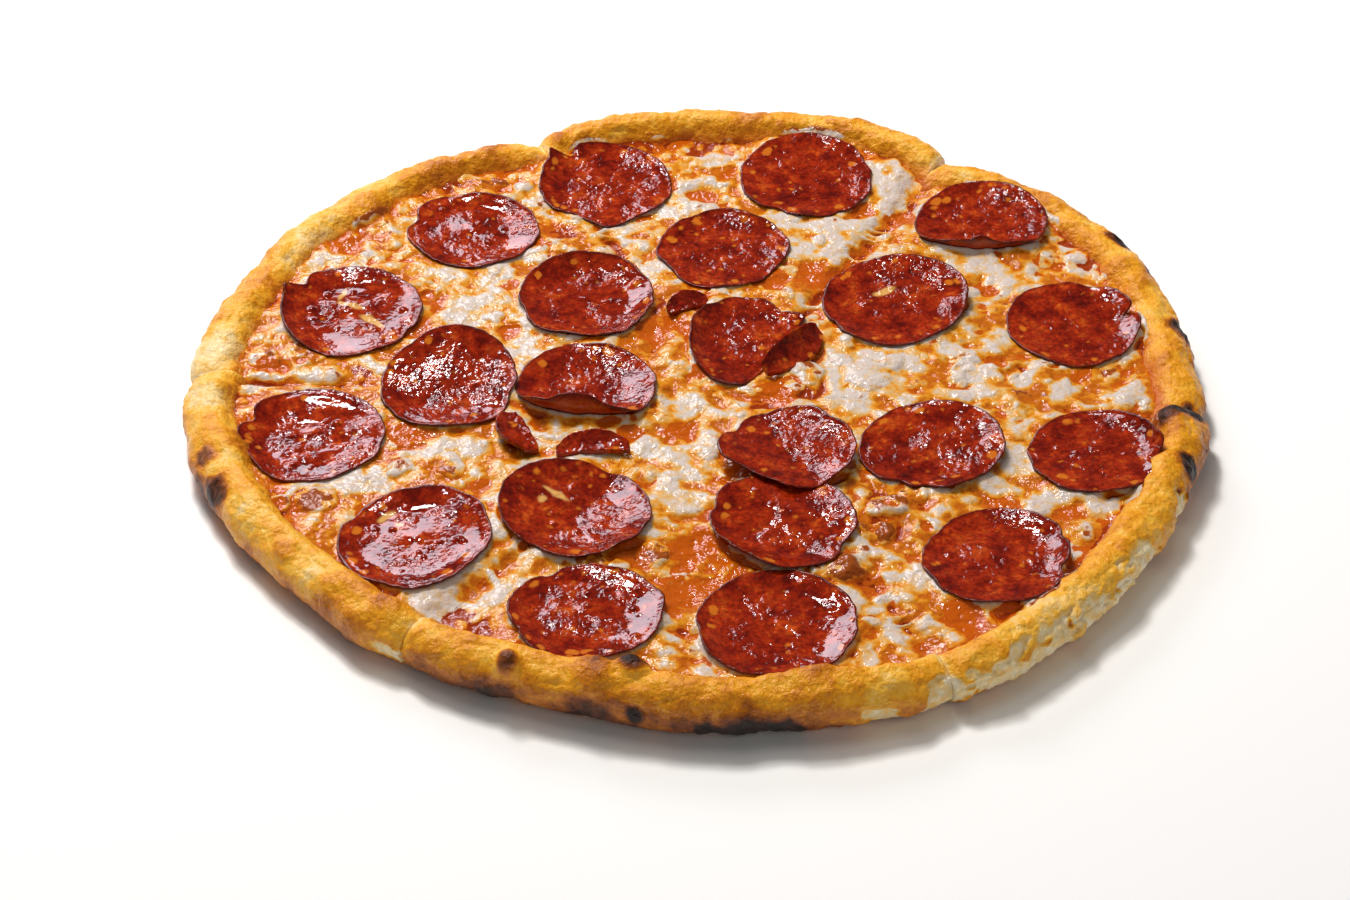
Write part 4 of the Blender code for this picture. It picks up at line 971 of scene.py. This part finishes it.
# How much the marbling shifts each amount, and the amount's tones from least to most
for label, channel, shift, tones in (
        ("milk", 0, 1.4, ((0.0, "C0620C"), (1.0, "D6C8BE"), (0.36, "E2921C"), (0.6, "E0AC5E"),
                          (0.8, "DABA90"))),
        ("oil", 1, 1.3, ((0.0, "EEA62A"), (1.0, "C25808"), (0.5, "DE7C12"))),
        ("toast", 2, 2.2, ((0.0, "DE943A"), (1.0, "9A4A14"), (0.5, "C8762A"))),
        ("saucy", 0, -1.4, ((0.0, "D4841E"), (1.0, "983408"), (0.5, "BE5C0E")))):
    stored = node(tree, "Attribute", {"attribute_name": label}).outputs["Fac"]
    uneven = node(tree, "Math", {"operation": "MULTIPLY_ADD"}, {
        0: shades.outputs[channel], 1: shift, 2: -shift / 2})
    amount = node(tree, "Math", {"operation": "ADD", "use_clamp": True}, {
        0: uneven.outputs[0], 1: stored})
    # Oil, toasting and sauce have crisp borders, while thick cheese thins out slowly
    crisp = (0.25, 0.65) if label != "milk" else (0.0, 1.0)
    parts[label] = node(tree, "MapRange", inputs={
        "Value": amount.outputs[0], "From Min": crisp[0], "From Max": crisp[1]}).outputs[0]
    toned = node(tree, "ValToRGB", inputs={"Fac": parts[label]}, stops=tones).outputs["Color"]
    mixed = toned if label == "milk" else node(tree, "Mix", {"data_type": "RGBA"}, {
        0: parts[label], 6: mixed, 7: toned}).outputs[2]
wet = node(tree, "MapRange", inputs={"Value": parts["oil"], "To Min": 0.16, "To Max": 0.06})
for label, value in (("Specular IOR Level", 0.5), ("Subsurface Weight", 0.12),
                     ("Subsurface Radius", (1.0, 0.6, 0.3)), ("Subsurface Scale", 0.0025)):
    shader.inputs[label].default_value = value
bumps = node(tree, "Bump", inputs={
    "Height": melts.outputs["Fac"], "Strength": 0.45, "Distance": 0.0016})
bumps = node(tree, "Bump", inputs={
    "Height": grain.outputs["Fac"], "Strength": 0.3, "Distance": 0.0006,
    "Normal": bumps.outputs["Normal"]})
for output, label in ((mixed, "Base Color"), (wet.outputs[0], "Roughness"),
                      (bumps.outputs["Normal"], "Normal")):
    tree.links.new(output, shader.inputs[label])

kept = inward > 13.0
for name in SLICE_NAMES:
    start, end = slice_span(name)
    bearings = np.radians(np.linspace(start, end, 9))
    corners = np.array([HUB] + [HUB + 178 * np.array((math.cos(a), math.sin(a))) for a in bearings])
    low = np.clip(np.floor(corners.min(0)) - 1, -MAP_REACH + 1, None)
    high = np.clip(np.ceil(corners.max(0)) + 1, None, MAP_REACH - 1)
    middle, half = (low + high) / 2, (high - low) / 2
    bm = bmesh.new()
    columns, rows = (int(2 * extent / MAP_STEP) for extent in half)
    bmesh.ops.create_grid(bm, x_segments=columns, y_segments=rows, size=1.0,
                          matrix=Matrix.Translation((*middle, 0)) @ Matrix.Diagonal((*half, 1, 1)))
    first, last = math.radians(start), math.radians(end)
    normals = [Vector((math.sin(first), -math.cos(first), 0)), Vector((-math.sin(last), math.cos(last), 0))]
    hub = Vector((*HUB, 0))
    outside = [v for v in bm.verts
               if (v.co - hub).dot(normals[0]) > 1.5 or (v.co - hub).dot(normals[1]) > 1.5
               or not kept[round((v.co.x + MAP_REACH) / MAP_STEP), round((v.co.y + MAP_REACH) / MAP_STEP)]]
    bmesh.ops.delete(bm, geom=outside, context="VERTS")
    for normal in normals:
        bmesh.ops.bisect_plane(bm, geom=bm.verts[:] + bm.edges[:] + bm.faces[:], dist=1e-5,
                               plane_co=hub - normal * 0.03, plane_no=normal, clear_outer=True)
    border = [e for e in bm.edges if e.is_boundary]
    sides = bmesh.ops.extrude_edge_only(bm, edges=border)["geom"]
    lower = [g for g in sides if isinstance(g, bmesh.types.BMVert)]
    bmesh.ops.translate(bm, vec=(0, 0, -9), verts=lower)
    bmesh.ops.holes_fill(bm, edges=[e for e in bm.edges if e.is_boundary], sides=0)
    finish_piece("cheese_layer_" + name, bm, cheese_material, lay_cheese,
                 ["cheese_" + name])


# ---------------------------------------------------------------------------------------------
# The studio: a plain white floor, a window and a small light behind and to the left that show in the
# wet places, three soft lights that do not, and the camera where the photograph was taken from.
# ---------------------------------------------------------------------------------------------
bm = bmesh.new()
bmesh.ops.create_grid(bm, x_segments=1, y_segments=1, size=6.0)
mesh = bpy.data.meshes.new("floor")
bm.to_mesh(mesh)
bm.free()
floor = bpy.data.objects.new("floor", mesh)
floor.location = (0.0, 0.0, -0.0004)
bpy.context.scene.collection.objects.link(floor)
# Matt white paint, so that it reads as the photograph's plain white ground
paint, tree, shader = new_material("matt_white_floor")
shader.inputs["Base Color"].default_value = colour("FDFDFC")
shader.inputs["Roughness"].default_value = 0.9
shader.inputs["Specular IOR Level"].default_value = 0.1
mesh.materials.append(paint)

TARGET = Vector((-0.00525, -0.02449, 0.0))


def soft_light(name, bearing, height, away, wide, tall, watts, tint, mirrored=True):
    """A soft box aimed at the pizza. Bearing is in degrees from the back, to the left. One that is
    not mirrored lights the pizza without showing in its wet places."""
    data = bpy.data.lights.new(name, "AREA")
    data.shape, data.size, data.size_y = "RECTANGLE", wide, tall
    data.energy, data.color = watts, tint
    light = bpy.data.objects.new(name, data)
    a, e = math.radians(bearing), math.radians(height)
    level = math.cos(e)
    light.location = TARGET + away * Vector((-math.sin(a) * level, math.cos(a) * level, math.sin(e)))
    light.rotation_euler = (TARGET - light.location).to_track_quat("-Z", "Y").to_euler()
    light.visible_glossy = mirrored
    bpy.context.scene.collection.objects.link(light)


soft_light("window", 25, 32, 1.5, 0.75, 0.42, 7.5, (0.92, 0.89, 1.0))
soft_light("glints", 24, 56, 1.5, 0.16, 0.16, 5, (1.0, 0.97, 0.98))
soft_light("key", 28, 60, 1.5, 0.4, 0.4, 15, (1.0, 0.97, 0.92), mirrored=False)
soft_light("overhead", 60, 80, 1.6, 1.0, 1.0, 4, (1.0, 0.96, 0.90), mirrored=False)
soft_light("fill", 200, 35, 1.8, 1.2, 1.0, 4, (1.0, 0.95, 0.88), mirrored=False)
world = bpy.data.worlds.new("studio_air")
world.use_nodes = True
world.node_tree.nodes["Background"].inputs["Color"].default_value = (0.95, 0.96, 1.0, 1.0)
world.node_tree.nodes["Background"].inputs["Strength"].default_value = 0.08
bpy.context.scene.world = world
bpy.context.scene.view_settings.view_transform = "Standard"

# The photograph looks along +Y, 37 degrees down, from a metre away
LOOK_DOWN = math.radians(37.03)
FOCAL_PIXELS, PICTURE_PIXELS, SENSOR = 3130.2, 1350, 36.0
camera_data = bpy.data.cameras.new("camera")
camera_data.sensor_width = SENSOR
camera_data.lens = FOCAL_PIXELS / PICTURE_PIXELS * SENSOR
camera_data.clip_start, camera_data.clip_end = 0.05, 20.0
camera = bpy.data.objects.new("camera", camera_data)
camera.location = TARGET + Vector((0.0, -math.cos(LOOK_DOWN), math.sin(LOOK_DOWN)))
camera.rotation_euler = (math.pi / 2 - LOOK_DOWN, 0.0, 0.0)
bpy.context.scene.collection.objects.link(camera)
bpy.context.scene.camera = camera
